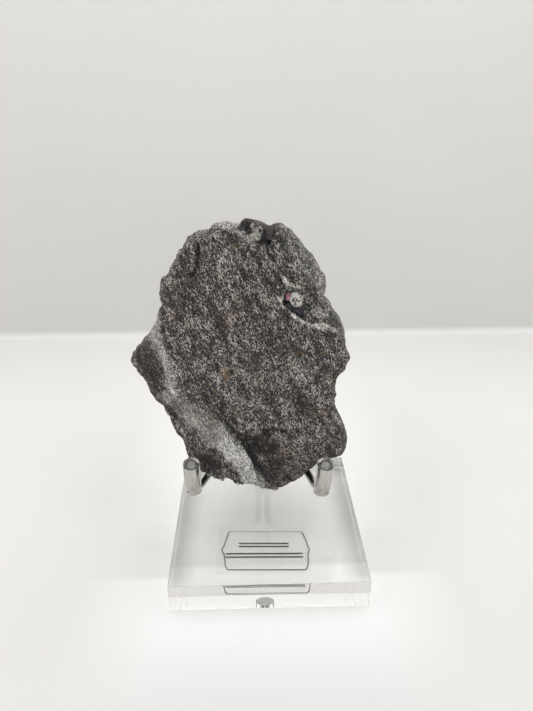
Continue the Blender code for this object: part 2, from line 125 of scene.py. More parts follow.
# Darker or lighter veins: their points, half width and strength. Dark ones are also cut in as cracks, and
# their darkening is painted shade in the cracks.
VEINS = (
    (CRACK, 0.5, -0.65),
    (BAND_EDGE[:4], 0.5, -0.5),
    (BAND_EDGE[3:], 1.1, -0.75),
    # The tongue's lower edge: painted shadow beneath its overhang.
    (TONGUE, 1.5, -0.8),
    (((-1.6, 102.4), (4.2, 94.9), (9.3, 88.6)), 0.6, -0.6),
    (((-4.6, 101.5), (0.8, 93.5), (4.6, 87)), 0.5, -0.55),
    (((1.5, 102.5), (6.5, 96), (10.5, 90.6)), 0.6, -0.5),
    (((18.6, 86.6), (21.2, 82.5), (22, 78.8)), 0.6, -0.45),
    (((-37.8, 36.4), (-34.6, 29.6), (-31.6, 23)), 0.7, -0.35),
    (HOLLOW_EDGE[:4], 0.7, -0.45),
    (((-11, 35), (-9.5, 31), (-8.6, 28), (-8.2, 25.5)), 0.4, -0.35),
    (((-0.5, 98), (1.6, 94.8)), 0.5, -0.5),
    (((1, 98.7), (3.4, 94.6)), 0.5, -0.45),
    (((-30.5, 83.2), (-26, 80.8)), 0.6, -0.35),
    (((29.5, 37), (32.6, 35.6)), 0.7, -0.4),
    (((-15.3, 61), (-15.4, 46)), 0.6, 0.35),
    (((-13.6, 80), (-11, 70), (-9.4, 61), (-9.6, 52), (-9.5, 40), (-9, 34)), 0.6, 0.32),
    (((-8.3, 33), (-7.6, 26)), 0.45, 0.38),
    (((-1.5, 86.5), (3, 81.3), (5.5, 79.8)), 0.8, 0.2),
    (((0.4, 100.6), (3, 97.4), (5.6, 93.4), (8.4, 90.6)), 0.5, 0.35),
    (((2.2, 99.6), (4.6, 95.4)), 0.35, 0.3),
    (((9.4, 90), (10.8, 87.4), (11.4, 84.8)), 0.9, 0.42),
    (((10, 20.6), (13, 17.3), (15, 15)), 0.5, 0.2),
    (((30, 34.2), (33, 30.8)), 0.5, 0.25),
    (((-32.6, 91), (-30, 90.2), (-28, 87.6)), 0.5, 0.22),
    (((25.2, 78.6), (27.4, 74.6)), 0.4, 0.25),
)
# Darker or lighter patches: middle, half width, half height and share of the strength below. The dark patch
# at (1.8, 20) is painted shadow under the tongue's overhang.
PATCH_STRENGTH = 1.25
PATCHES = (
    (-41, 45.5, 3.4, 5.6, -0.2), (-45, 53, 3, 6, -0.1), (-28, 88, 5.5, 4.4, -0.22),
    (-31, 86, 2.4, 1.6, -0.25), (-17.5, 96, 1.8, 2.4, -0.16), (-4, 98, 2.2, 2.8, -0.2),
    (-11, 103.5, 3.4, 1.8, -0.22), (-34, 77, 6, 3, -0.1),
    (-21.5, 62.5, 4, 4, -0.18), (-30, 57, 3, 4.8, -0.2), (-21.5, 48, 5, 3, -0.2), (-23, 43, 3, 3.4, -0.22),
    (-28.5, 22, 2.4, 6, -0.14), (-21, 11, 5.4, 4.8, -0.36), (-34, 33, 2.4, 3, -0.12), (-3, 54, 3.4, 3, -0.18),
    (7, 73, 2, 2.2, -0.24), (5, 66, 4, 3, -0.12), (27, 65, 4, 3, -0.12), (17, 43, 2.4, 4, -0.14),
    # The patch at (1.8, 20) on this line is painted shadow under the tongue.
    (18, 36, 3, 4, -0.14), (25, 32, 3.4, 4.4, -0.18), (23.5, 24, 0.9, 0.8, -0.5), (1.8, 20, 6.5, 4.4, -0.55),
    (6, 10, 9, 7, -0.18), (21.5, 85, 1.8, 3.6, -0.22), (29.5, 76.5, 2.4, 5, -0.2), (11, 91, 2.4, 1.4, -0.2),
    (-20.5, 87, 1.4, 3.4, 0.22), (-15, 97.5, 2, 3, 0.1), (-10, 98, 2.4, 1.4, 0.14), (-14, 75.5, 4, 2, 0.14),
    (-25, 72, 3.4, 4, 0.1), (-6, 72.5, 2, 3, 0.15), (-2, 63, 3, 2, 0.14), (-12, 110.3, 4, 1.2, 0.2),
    (-2.5, 28.6, 3.4, 3.4, 0.24), (-1, 33, 3, 2, 0.18), (0, 39, 4, 2.4, 0.14), (12, 37, 3, 2.2, 0.18),
    (13.5, 28.5, 4, 2.4, 0.1), (16.5, 23, 2.4, 2.4, 0.14), (20, 49.5, 2.4, 2, 0.2), (22, 53, 2.4, 2, 0.14),
    (13, 55, 3, 4, 0.08), (6.8, 78.5, 2.4, 3.6, 0.2), (23, 77, 2.6, 3.4, 0.1), (33.5, 70, 1.2, 4, 0.14),
    (23, 91, 1.8, 4.4, 0.16), (-38.5, 52, 3, 3, 0.12),
)
# Bright mica: its line, half width and strength, and the levels of the gaps in it.
MICA = (
    (((9.6, 90.4), (10.4, 88.1), (11.9, 87)), 0.8, 0.8),
    (((11.9, 87.3), (15.4, 87), (18.1, 85.5), (20.1, 82.8)), 0.5, 0.4),
    (((8.5, 81.1), (9.7, 82.7), (10.8, 83.5)), 0.8, 0.8),
    (((8.6, 78.8), (11.3, 76.6), (13.7, 74.8)), 0.6, 0.8),
    (((13.4, 75.3), (15.7, 73.8), (18, 72.7)), 1.2, 1.3),
    (((17.6, 72.9), (20.4, 71.8), (22.8, 71)), 0.9, 0.9),
    (((22.7, 71.4), (25.5, 70.6)), 1.5, 1.2),
    (((26.3, 71), (29.4, 69.5)), 0.9, 0.9),
    (((-16.3, 110.4), (-12.1, 110.2), (-8.4, 109.3), (-5.7, 107.5), (-3.5, 105.3), (-1.6, 103.9)), 1.9, 0.5),
    (((-0.4, 100.5), (4.2, 94.9), (6.9, 91.1)), 0.5, 0.4),
    (((-13.4, 82), (-10.5, 74), (-9.6, 66)), 0.5, 0.3),
)
MICA_GAP_LEVELS = (-0.85, -0.1)
BACK_MICA_LEVELS = (0.45, 0.7)

# Random fields on the rock: sizes in millimetres (along, down and through the layers, or one size
# for all ways), seed and strength.
FLAKES = ((9.0, 6.0, 1.9), 3, 0.36)
SLIVERS = ((5.0, 2.8, 0.95), 4, 0.30)
KNOBS = (3.4, 5, 0.36)
GRAIN = (1.5, 6)
# Grain's depth in millimetres, and how much it adds to the relief's painted shade.
GRAIN_DEPTH, GRAIN_SHADE = 0.22, 0.5
FINE_GRAIN = (0.85, 7, 0.13)
PITS = (2.3, 8)
PIT_LEVEL, PIT_DEPTH = 0.45, 1.1
SPLITS = ((12.0, 7.0, 2.6), 9)
SPLIT_WIDTH, SPLIT_DEPTH = 0.15, 0.5
BACK_BAND = (7, 25, 2.5)
BACK_MICA = ((6, 3, 1.5), 26)
BACK_TONE = (6.5, 27, 0.22)
BROWN_SPOTS = (4.5, 28)
BROWN_FIELDS = (11, 29, 0.6)
STREAKS = ((7.0, 4.0, 0.9), 30)
MICA_GAPS = (1.3, 31)
MICA_BREAKS = (3.2, 32, 0.5)
# Heights of veins, cracks and mica in millimetres, and how far the whole surface is set back for them.
VEIN_HEIGHT, CRACK_DEPTH, MICA_HEIGHT, FACE_SET_BACK = 0.55, 1.1, 0.35, 0.1
# Marks get ragged edges by a fine and a coarse wobble: size and reach in millimetres, and first seed.
ROCK_WOBBLE, ROCK_WOBBLE_SEED = ((1.9, 0.45), (5.5, 0.9)), 21
CRYSTAL_WOBBLE, CRYSTAL_WOBBLE_SEED = ((0.8, 0.25), (2.1, 0.2)), 41

# Random fields on the crystals, and what they carve or build up, in millimetres.
CRYSTAL_EDGE = 0.25 * MM
CRYSTAL_CORNER = math.radians(15)
CRYSTAL_STEPS = (1.6, 45, 0.06)
CRYSTAL_GRAIN = (0.6, 46, 0.03)
CRYSTAL_PITS = (1.1, 47)
CRYSTAL_PIT_LEVEL, CRYSTAL_PIT_DEPTH = 0.5, 0.5
BLACK_DEPTH = 0.45
CRUST_THICK = 0.22
CRUST_LUMPS = (0.55, 48, 0.12)
CRUST_GAPS = (0.7, 49)
CRUST_BREAKS = (1.6, 50)
CRUST_GAP_LEVELS = (-0.9, -0.1)
CRUST_CORE, CRUST_FADE = 0.75, 1.05

# Marks on each crystal: crust patches, red patches with their strength, and black lines with their half
# width. The red patches are painted glints and painted glow of light in thin places; the black lines are
# carved grooves painted near-black, partly the crystal's dark pits and partly painted shade, as in the gap
# round the side crystal.
GARNET_MARKS = {
    "garnet_top": {
        "crust": (
            (-1.8, 109.6, 1.8, 1.2), (-0.6, 107.8, 2.2, 2.2), (-1.2, 105.6, 2.3, 1.9),
            (-2.9, 104.9, 2.0, 1.5),
        ),
        "red_glow": (
            (-8.0, 111.2, 1.0, 0.6, 0.5), (-6.2, 112.2, 1.6, 0.6, 0.5), (-6.1, 110.3, 0.6, 0.5, 1.6),
            (3.9, 106.8, 1.2, 1.5, 0.14),
        ),
        "black_and_shade": (
            (((-7.2, 110.4), (-4.6, 108.6), (-3.5, 110.1)), 0.8), (((1.8, 103.6), (3.9, 103.2)), 1.0),
            (((1.5, 107.4), (1.9, 104.5)), 0.9),
        ),
    },
    "garnet_side": {
        "crust": ((14.5, 81.9, 2.9, 3.6),),
        "red_glow": (
            (11.1, 83.0, 0.9, 1.5, 0.4), (11.2, 82.0, 0.7, 0.8, 1.4), (17.8, 84.3, 1.1, 1.7, 0.7),
            (14.8, 86.3, 1.8, 0.5, 0.4), (15.4, 78.5, 0.8, 0.4, 0.3),
        ),
        "black_and_shade": (
            (((8.8, 79.6), (10.2, 80.4), (12.1, 80.4), (12.6, 79.2), (13.6, 78.1), (15.0, 78.3)), 0.7),
            (((9.2, 79.0), (10.6, 77.4), (12.3, 76.2)), 0.7),
            (((12.0, 85.6), (14.6, 85.3), (17.2, 84.4)), 0.5),
        ),
    },
}

# How close points of a mesh are merged, and how near to an edge's height counts as on it.
NODE_MERGE = 0.004 * MM
TUBE_MERGE = 0.01 * MM
CLOSE = 0.1 * MM

# Stand.
BLOCK_SIDE = 76.2 * MM
BLOCK_HEIGHT = 12.7 * MM
BLOCK_EDGE = 0.15 * MM
ROD_RADIUS = 1.75 * MM
ROD_EDGE = 0.25 * MM
ROD_PITCH = 4.4 * MM
ROD_FOOT = (-1.0 * MM, 29.0 * MM)
ROD_FOOT_LIFT = 11.5 * MM
ROD_TOP = 48.0 * MM
ELBOWS = {"right": Vector((22.7, -1.5, 23.6)) * MM, "left": Vector((-30.9, 1.8, 22.5)) * MM}
LEANS = {
    "right": Vector((0.08, -0.05, 1.0)).normalized(),
    "left": Vector((-0.012, -0.05, 1.0)).normalized(),
}
TOP_BEND = 5.0 * MM
ELBOW_BEND = 3.0 * MM
SOCKET_RADIUS = 4.3 * MM
SOCKET_DEPTH = 1.5 * MM
GLUE_THICK = 0.25 * MM
GLUE_CONTACT = 0.03 * MM
GLUE_GAP = 0.05 * MM
GLUE_RIM = 0.8 * MM
GLUE_DISH = 0.04 * MM
TIP_RADIUS = 3.5 * MM
TIP_FOOT = 1.6 * MM
TIP_FOOT_EDGE = 0.5 * MM
TIP_ABOVE = 17.4 * MM
TIP_ROUND = 1.2 * MM
ROD_SHORT_OF_TIP = 2.2 * MM
GRIP = 0.06 * MM
END_RADIUS = 2.3 * MM
END_THICK = 0.1 * MM
END_RIM = 0.8 * MM
END_STEP = 0.03 * MM
# The rods are painted light inside the sleeves, as a painted reflection: this far, in millimetres, to either
# side of their middle.
SLEEVES_MIDDLE = -4.1
SLEEVED_FROM = 24.8
SLEEVED_BLUR = 1.5
LABEL_SIZE = (38.1 * MM, 25.4 * MM, 0.2 * MM)
LABEL_EDGE = 0.06 * MM
LABEL_CENTRE = (-1.8 * MM, -14.3 * MM)
LABEL_TURN = math.radians(-1.5)
LABEL_LIFT = 0.05 * MM
INK_GAP = 0.02 * MM
INK_THICK = 0.04 * MM
# Printed frame and ruled lines on the film: points in millimetres from above, and width.
INK_LINES = (
    (((-16.3, -24.4), (14.8, -25.3)), 0.34),
    (((-16.35, -3.9), (14.6, -4.8)), 0.14),
    (((-16.3, -24.4), (-17.3, -22.5), (-17.65, -19.4), (-18.1, -16.2), (-19.2, -14.0)), 0.3),
    (((-19.2, -14.0), (-18.3, -12.4), (-17.8, -10.1), (-16.9, -6.0), (-16.35, -3.9)), 0.3),
    (((14.8, -25.3), (15.6, -23.6), (16.1, -21.3), (16.4, -17.0), (17.3, -14.9)), 0.3),
    (((17.3, -14.9), (16.7, -13.2), (16.15, -9.4), (15.2, -6.2), (14.6, -4.8)), 0.3),
    (((-17.4, -16.1), (14.3, -16.9)), 0.5),
    (((-17.4, -17.9), (14.3, -18.7)), 0.5),
    (((-12.0, -10.6), (8.7, -11.3)), 0.5),
    (((-12.0, -12.3), (8.7, -13.0)), 0.5),
)

# Table, wall and light.
WALL_Y = 214 * MM
WALL_HEIGHT = 274 * MM
TABLE_WIDTH = 3.0
TABLE_DEPTH = 1.8
TABLE_DROP = -0.2 * MM
# The table is painted darker toward the front and lighter toward the wall: painted shade in front, painted
# light at the back.
TABLE_NEAR_Y = -60 * MM
TABLE_NEAR = (0.83, 0.82, 0.80)
TABLE_FAR = (0.99, 0.985, 0.97)
# The table's white near the stand is painted lighter and darker from front to back, in millimetres: painted
# light in a strip just inside the block's front edge and from the block's middle to behind it, with the band
# between left darker as painted shade.
PAINTED_LIGHT_FROM, PAINTED_LIGHT_TO = -80.0, 120.0
PAINTED_LIGHT_STOPS = (
    (-75, 0.82), (-50, 0.93), (-36, 0.97), (-24, 1.0), (-21, 0.84), (-18, 0.87), (-5, 0.87),
    (10, 0.97), (60, 0.99), (110, 0.97),
)
PAINTED_LIGHT_INNER, PAINTED_LIGHT_OUTER = 42.0, 75.0
# Under the block the paper is painted darker just inside its two side edges, as painted shade.
EDGE_SHADE_STOPS = ((28, 1.0), (33, 0.86), (36, 0.74), (38, 0.76), (39, 1.0))
EDGE_SHADE_REACH = 50
EDGE_SHADE_LENGTH = ((-33, 0), (-27, 1), (34, 1), (38, 0))
WALL_COLOUR = (0.665, 0.66, 0.645)
PANEL_HEIGHT = 300 * MM
PANEL_WIDTH = 520 * MM
PANEL_DEPTH = 300 * MM
COVE_RADIUS = 5 * MM
PANEL_POWER = 0.26
PANEL_COLOUR = (1.0, 0.985, 0.965)
ROOM_FRONT = (1.75, 1.735, 1.71)
ROOM_MIDDLE = (1.7, 1.685, 1.66)
ROOM_BACK = (0.72, 0.715, 0.70)
ROOM_TOP = (1.55, 1.54, 1.52)
# The room turns from front to back at these shares of its depth, and to its top at these heights.
ROOM_TURNS = (0.0, 0.3, 0.6)
ROOM_RISE = (0.3, 0.8)
# A dark corner of the room, high up in front.
SHADE_WAY = Vector((0.0, -0.58, 0.81)).normalized()
SHADE_COLOUR = (0.03, 0.03, 0.032)
SHADE_INNER = math.cos(math.radians(25))
SHADE_OUTER = math.cos(math.radians(46))
# A bright window high up behind the wall.
WINDOW_WAY = Vector((0.0, 0.66, 0.75)).normalized()
WINDOW_COLOUR = (1.2, 1.19, 1.17)
WINDOW_INNER = math.cos(math.radians(18))
WINDOW_OUTER = math.cos(math.radians(34))
CLEAR_BOUNCES = 20

# Colour ramps: place and colour, from dark to light grains.
SCHIST_SHADES = (
    (0.12, (0.003, 0.0025, 0.0025)), (0.32, (0.014, 0.011, 0.0105)), (0.46, (0.042, 0.036, 0.034)),
    (0.62, (0.082, 0.0745, 0.0685)), (0.78, (0.172, 0.161, 0.149)), (1.0, (0.50, 0.48, 0.435)),
)
QUARTZ_SHADES = (
    (0.0, (0.05, 0.048, 0.048)), (0.3, (0.28, 0.276, 0.272)), (0.5, (0.43, 0.425, 0.415)),
    (0.75, (0.58, 0.573, 0.555)), (1.0, (0.76, 0.75, 0.72)),
)
MICA_SHADES = ((0.1, (0.11, 0.108, 0.098)), (0.5, (0.42, 0.41, 0.365)), (0.9, (0.86, 0.85, 0.79)))
SLATE_SHADES = (
    (0.1, (0.03, 0.03, 0.029)), (0.45, (0.13, 0.128, 0.118)), (0.7, (0.25, 0.245, 0.225)),
    (1.0, (0.45, 0.44, 0.41)),
)
CRUST_SHADES = ((0.1, (0.08, 0.077, 0.065)), (0.42, (0.34, 0.335, 0.295)), (0.8, (0.70, 0.69, 0.63)))
FILM_SHADES = ((0.3, (0.70, 0.68, 0.63)), (0.7, (0.78, 0.76, 0.71)))
INK_SHADES = ((0.3, (0.012, 0.012, 0.014)), (0.7, (0.04, 0.04, 0.045)))
GLUE_SHADES = ((0.3, 0.58), (0.7, 0.72))
# The dark ring at each rod's end is painted shade for the dark seen in the sleeve's bore.
RIM_PAINTED_SHADES = ((0.3, (0.07, 0.075, 0.085)), (0.7, (0.14, 0.147, 0.16)))
GROUND_SHADES = ((0.3, (0.38, 0.385, 0.40)), (0.7, (0.62, 0.62, 0.63)))
PAPER_MOTTLE = ((0.3, 0.985), (0.7, 1.0))
# Tints that the schist's shades are multiplied by.
WARM = (1.0, 0.84, 0.75)
COLD_GRAIN, WARM_GRAIN = (0.92, 0.98, 1.06), (1.06, 1.0, 0.93)
RUST_COLOUR = (0.13, 0.077, 0.02)
# How much of each colour shows where its mark is full.
BROWN_STRENGTH, SLATE_STRENGTH, RUST_STRENGTH = 0.7, 0.6, 0.75
# Stretch of the schist's grains, and lengths of its streaks in millimetres: along and across the layers
# on its face, and into the rock.
GRAIN_STRETCH = (1.4, 0.8, 1.0)
NEEDLE_LENGTHS = (5.0, 0.45, 0.8)
BAND_LENGTHS = (16.0, 2.2, 3.0)
# How strongly needles, bands, clouds, relief and painted tone change the schist's shade. Relief here is
# painted shade: hollows painted darker and crests lighter.
SHADE_STRENGTHS = (0.7, 0.65, 0.45, 0.5, 1.0)
# How calm the speckle gets in brown, dull and smooth places, and how dull ones change the shade.
BROWN_CALM, DULL_CALM, SMOOTH_CALM = 0.3, 0.4, 0.15
DULL_SHADE = -0.02
# Grains per millimetre, and cloudy noises: number per millimetre, detail and roughness.
ROCK_GRAINS, CRUST_GRAINS = 2.3, 2.4
CLUSTERS = (2.1, 3.0, 0.75)
STREAK_NOISE = (1.0, 2.0, 0.6)
CLOUDS = (0.24, 3.0, 0.6)
CRYSTAL_CLOUDS = (0.7, 4.0)
PAPER_CLOUDS = (0.015, 3.0)
CLUSTER_STRENGTH = 1.7
GRAIN_STEP = 0.35
# Smudges on clear and polished pieces: smears and specks as cloudy noise, and where they start and end.
SMEARS, SPECKS = (0.11, 5.0, 0.6), (2.5, 2.0)
SMEAR_SHARE = 0.75
SMUDGE_START, SMUDGE_FULL = 0.40, 0.62
# The crystals' bodies, and the painted glow and glints of light in their thin places.
BROWN_BODY, BROWN_GLOW = (0.036, 0.029, 0.029), (0.16, 0.045, 0.06)
PURPLE_BODY, PURPLE_GLOW = (0.062, 0.056, 0.066), (0.48, 0.20, 0.29)
# Near-black of the carved lines: partly dark pits of the crystal, partly painted shade.
BLACK_PIT_AND_SHADE = (0.006, 0.005, 0.006)
CRYSTAL_DARKEST = 0.4
CRYSTAL_WAVES = 0.2
CRYSTAL_SHINE = 0.22
# Roughness where a surface is glossiest and dullest, and relief as bump: strength and depth.
ROCK_GLOSS, CRYSTAL_GLOSS, ROD_CLEANEST, ROD_DULLEST = (0.35, 0.95), (0.24, 0.8), 0.05, 0.16
ROCK_BUMP, CRYSTAL_BUMP = (0.9, 0.5 * MM), (0.7, 0.3 * MM)
PAPER_ROUGHNESS = 0.75
# How far a face has to turn to the camera to count as hidden and as shown, as cosines.
TURNED_AWAY, TURNED_TOWARD = -0.05, 0.15
# The stand's tints, and the stretch, number per millimetre and detail of the wheel's marks.
ACRYLIC_TINT, VINYL_TINT = (0.99, 0.99, 0.985), (0.84, 0.828, 0.805)
# Painted reflection on the rods: dark where they face the camera, light at their edges and inside the
# sleeves.
ROD_DARK_REFLECTION, ROD_LIGHT_REFLECTION = (0.03, 0.029, 0.03), (0.62, 0.61, 0.59)
EVEN = (1, 1, 1)
WHEEL_MARKS = ((0.2, 2.0, 2.0), 1.5, 2.0)


# Small helpers for working on one object at a time.


def deselect_all():
    for thing in bpy.context.selected_objects:
        thing.select_set(False)


def work_on(thing):
    deselect_all()
    thing.select_set(True)
    bpy.context.view_layer.objects.active = thing


def shape(operator, **values):
    """Runs one mesh operator in edit mode on what is selected."""
    bpy.ops.object.mode_set(mode="EDIT")
    operator(**values)
    bpy.ops.object.mode_set(mode="OBJECT")


def select_nothing(thing, kind):
    """Clears the selection of vertices, edges or faces."""
    work_on(thing)
    bpy.context.tool_settings.mesh_select_mode = tuple(kind == name for name in ("VERT", "EDGE", "FACE"))
    shape(bpy.ops.mesh.select_all, action="DESELECT")


def select_edges(thing, wanted):
    """Selects the edges whose two ends pass a test, and nothing else."""
    select_nothing(thing, "EDGE")
    for edge in thing.data.edges:
        edge.select = bool(wanted(*(thing.data.vertices[i].co for i in edge.vertices)))


def select_faces(thing, wanted):
    """Selects the faces whose normal passes a test, and nothing else."""
    select_nothing(thing, "FACE")
    for face in thing.data.polygons:
        face.select = bool(wanted(face.normal))


def apply_place(thing):
    work_on(thing)
    bpy.ops.object.transform_apply(location=True, rotation=True, scale=True)


def modify(thing, kind, **values):
    """Adds a modifier with these values and applies it."""
    work_on(thing)
    modifier = thing.modifiers.new(kind.lower(), kind)
    for name, value in values.items():
        setattr(modifier, name, value)
    bpy.ops.object.modifier_apply(modifier=modifier.name)


def finish_piece(thing, node, material):
    """Gives a piece its material and body, and hides the CAD node it stands for."""
    thing.data.materials.clear()
    thing.data.materials.append(material)
    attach(thing, "root")
    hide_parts(node)


def finish_trim(thing, slot, *materials):
    """Gives a small new piece that no node stands for its materials and body."""
    for material in materials:
        thing.data.materials.append(material)
    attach(thing, "root")


def copy_of_node(node, name):
    """A merged copy of a CAD node's loose triangles."""
    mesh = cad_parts[node].data.copy()
    mesh.name = name
    thing = bpy.data.objects.new(name, mesh)
    bpy.context.scene.collection.objects.link(thing)
    work_on(thing)
    shape(bpy.ops.mesh.select_all, action="SELECT")
    shape(bpy.ops.mesh.remove_doubles, threshold=NODE_MERGE)
    return thing


# Fields on arrays of points, in millimetres in the rock's frame.


def stone_matrix():
    turn = Euler((math.pi / 2 - STONE_LEAN, 0.0, STONE_TURN)).to_matrix().to_4x4()
    return Matrix.Translation(STONE_PLACE) @ turn


def read_points(mesh):
    points = np.empty(len(mesh.vertices) * 3)
    mesh.vertices.foreach_get("co", points)
    return points.reshape(-1, 3)


def read_normals(mesh):
    normals = np.empty(len(mesh.vertices) * 3)
    mesh.vertices.foreach_get("normal", normals)
    return normals.reshape(-1, 3)


def in_stone_frame(points):
    inverse = np.array(stone_matrix().inverted())
    return (points @ inverse[:3, :3].T + inverse[:3, 3]) / MM


def ease(value, low, high):
    part = np.clip((value - low) / (high - low), 0.0, 1.0)
    return part * part * (3.0 - 2.0 * part)


def left_of_line(x, y, line):
    """Distance to an open line, positive on the left of its direction."""
    best = np.full(x.shape, 1e9)
    signed = np.zeros(x.shape)
    for (ax, ay), (bx, by) in zip(line[:-1], line[1:]):
        dx, dy = bx - ax, by - ay
        along = np.clip(((x - ax) * dx + (y - ay) * dy) / (dx * dx + dy * dy), 0.0, 1.0)
        distance = np.hypot(x - ax - along * dx, y - ay - along * dy)
        side = np.sign(dx * (y - ay) - dy * (x - ax))
        nearer = distance < best - 1e-9
        best = np.where(nearer, distance, best)
        signed = np.where(nearer, side * distance, signed)
    return signed


def noise(points, size, seed, strength=1.0):
    """Smooth random values on both sides of 0, up to a strength, on a lattice of that spacing."""
    table = np.random.default_rng(seed).uniform(-1, 1, (LATTICE, LATTICE, LATTICE))
    place = points / size
    cell = np.floor(place).astype(int)
    part = place - cell
    part = part * part * (3 - 2 * part)
    total = np.zeros(len(points))
    for corner in itertools.product((0, 1), repeat=3):
        weight = np.prod(np.where(corner, part, 1 - part), axis=1)
        total += weight * table[tuple(((cell + corner) % LATTICE).T)]
    return strength * total


def foliated(points):
    """Places along the foliation lines, down its dip and through its layers."""
    x, y, z = points.T
    along = x * math.cos(FOLIATION) + y * math.sin(FOLIATION)
    across = -x * math.sin(FOLIATION) + y * math.cos(FOLIATION)
    down = across * math.sin(FOLIATION_DIP) + z * math.cos(FOLIATION_DIP)
    through = across * math.cos(FOLIATION_DIP) - z * math.sin(FOLIATION_DIP)
    return np.stack((along, down, through), axis=1)


def seen_place(points):
    """Where each point shows on the face's plane, seen from the camera."""
    eye = in_stone_frame(np.array([CAMERA_PLACE]))[0]
    share = eye[2] / (eye[2] - points[:, 2])
    return (eye[:2] + share[:, None] * (points[:, :2] - eye[:2])).T


def facing_camera(points, normals):
    """1 where the surface shows to the camera, 0 on the back."""
    toward = np.array(CAMERA_PLACE) - points
    toward /= np.linalg.norm(toward, axis=1)[:, None]
    return ease((toward * normals).sum(axis=1), TURNED_AWAY, TURNED_TOWARD)


def near_line(x, y, line, width):
    """1 on a line, falling to 0 a little past its half width."""
    return 1 - ease(np.abs(left_of_line(x, y, line)), LINE_CORE * width, LINE_FADE * width)


def in_patch(x, y, cx, cy, wide, high, core=PATCH_CORE, fade=PATCH_FADE):
    """1 inside an oval patch with a soft edge."""
    return 1 - ease(np.hypot((x - cx) / wide, (y - cy) / high), core, fade)


def pits(points, field, level, depth):
    """Depth of the pits, which lie where a random field rises past a level."""
    return depth * np.clip(noise(points, *field) - level, 0, 1)


def ragged(points, x, y, wobbles, seed):
    """Places moved a little at random, each wobble with the next seed."""
    moved = []
    for value in (x, y):
        for size, reach in wobbles:
            value = value + noise(points, size, seed, reach)
            seed += 1
        moved.append(value)
    return moved


def as_share(value):
    """A value from -1 to 1 as a share from 0 to 1."""
    return np.clip(0.5 + 0.5 * value, 0, 1)


def rock_relief(points):
    """Flakes, slivers, knobs and splits of the broken layers, in millimetres."""
    layered = foliated(points)
    splits = 1 - ease(np.abs(noise(layered, *SPLITS)), 0.0, SPLIT_WIDTH)
    relief = noise(layered, *FLAKES) + noise(layered, *SLIVERS) + noise(points, *KNOBS)
    return relief - SPLIT_DEPTH * splits


def rock_roughness(points, x, y, facing):
    """How far the broken surface stands out, in millimetres: relief, grain, pits, cracks and mica."""
    push = rock_relief(points) + GRAIN_DEPTH * noise(points, *GRAIN) + noise(points, *FINE_GRAIN)
    push -= pits(points, PITS, PIT_LEVEL, PIT_DEPTH)
    for line, width, strength in VEINS:
        height = VEIN_HEIGHT if strength > 0 else CRACK_DEPTH
        push += facing * height * strength * near_line(x, y, line, width)
    for line, width, strength in MICA:
        push += MICA_HEIGHT * facing * strength * near_line(x, y, line, width)
    push -= HOLLOW_DEPTH * facing * in_patch(x, y, *HOLLOW)
    return push - FACE_SET_BACK


def pale_share(points, x, y, facing):
    """Pale quartz: the band's core, mist and foot on the face, and one band on the back."""
    pale = PALE_PATCH_SHARE * in_patch(x, y, *PALE_PATCH)
    for line, strength, full, gone in PALE_BANDS:
        pale = np.maximum(pale, strength * (1 - ease(np.abs(left_of_line(x, y, line)), full, gone)))
    foot = 1 - ease(np.abs(left_of_line(x, y, PALE_FOOT)), *FOOT_WIDTHS)
    pale = np.maximum(pale, (1.0 - FOOT_FADE * ease(y, *FOOT_FADE_HEIGHTS)) * foot)
    pale *= 1 - ease(left_of_line(x, y, BAND_EDGE), *BAND_EDGE_BLUR)
    behind = left_of_line(points[:, 0], points[:, 1], PALE_MIST) + noise(points, *BACK_BAND)
    back = BACK_BAND_SHARE * (1 - ease(np.abs(behind), *BACK_BAND_WIDTHS))
    pale = facing * pale + (1 - facing) * back
    return np.clip(pale * (1 + STREAK_SHARE * noise(foliated(points), *STREAKS)), 0, 1)


def mica_share(points, x, y, facing):
    """Bright mica: along its lines on the face, and in loose flakes on the back."""
    mica = np.zeros(len(points))
    for line, width, strength in MICA:
        mica = np.maximum(mica, strength * near_line(x, y, line, width))
    mica *= ease(noise(points, *MICA_GAPS) + noise(points, *MICA_BREAKS), *MICA_GAP_LEVELS)
    return facing * mica + (1 - facing) * ease(noise(foliated(points), *BACK_MICA), *BACK_MICA_LEVELS)


def bevel_share(points, x, y, facing):
    """The smoother slate: the bevelled upper right edge and the floor of the hollow."""
    edge = ease(left_of_line(x, y, BEVEL_EDGE), *BEVEL_BLUR)
    return facing * np.maximum(edge, SMOOTH_PATCH_SHARE * in_patch(x, y, *SMOOTH_PATCH))


def rust_share(points, x, y, facing):
    """Small spots of rust on the face."""
    rust = np.zeros(len(points))
    for cx, cy, size in RUST:
        away = np.hypot(x - cx, (y - cy) * RUST_HEIGHT_SHARE)
        rust = np.maximum(rust, 1 - ease(away, RUST_CORE * size, size))
    return facing * rust


def tone_share(points, x, y, facing):
    """Darker or lighter: veins and patches on the face, and clouds on the back. The dark veins carry painted
    shade in their cracks, and the tongue's line and the patch beneath it are painted shadow under its
    overhang.
    """
    tone = np.zeros(len(points))
    for line, width, strength in VEINS:
        tone += strength * near_line(x, y, line, width)
    for *patch, strength in PATCHES:
        tone += PATCH_STRENGTH * strength * in_patch(x, y, *patch)
    return as_share(facing * tone + (1 - facing) * noise(points, *BACK_TONE))


def brown_share(points, x, y, facing):
    """Browner places all over, and two on the face."""
    brown = ease(noise(points, *BROWN_SPOTS) + noise(points, *BROWN_FIELDS), *BROWN_LEVELS)
    for patch in BROWN_PATCHES:
        brown = np.maximum(brown, BROWN_PATCH_SHARE * facing * in_patch(x, y, *patch))
    return brown


def dull_share(points, x, y, facing):
    """Places with little speckle: the left lobe and a patch at the lower right."""
    lobe = 1 - ease(np.abs(left_of_line(x, y, LEFT_LOBE)), *LEFT_LOBE_WIDTHS)
    return facing * np.maximum(in_patch(x, y, *DULL_PATCH), lobe)


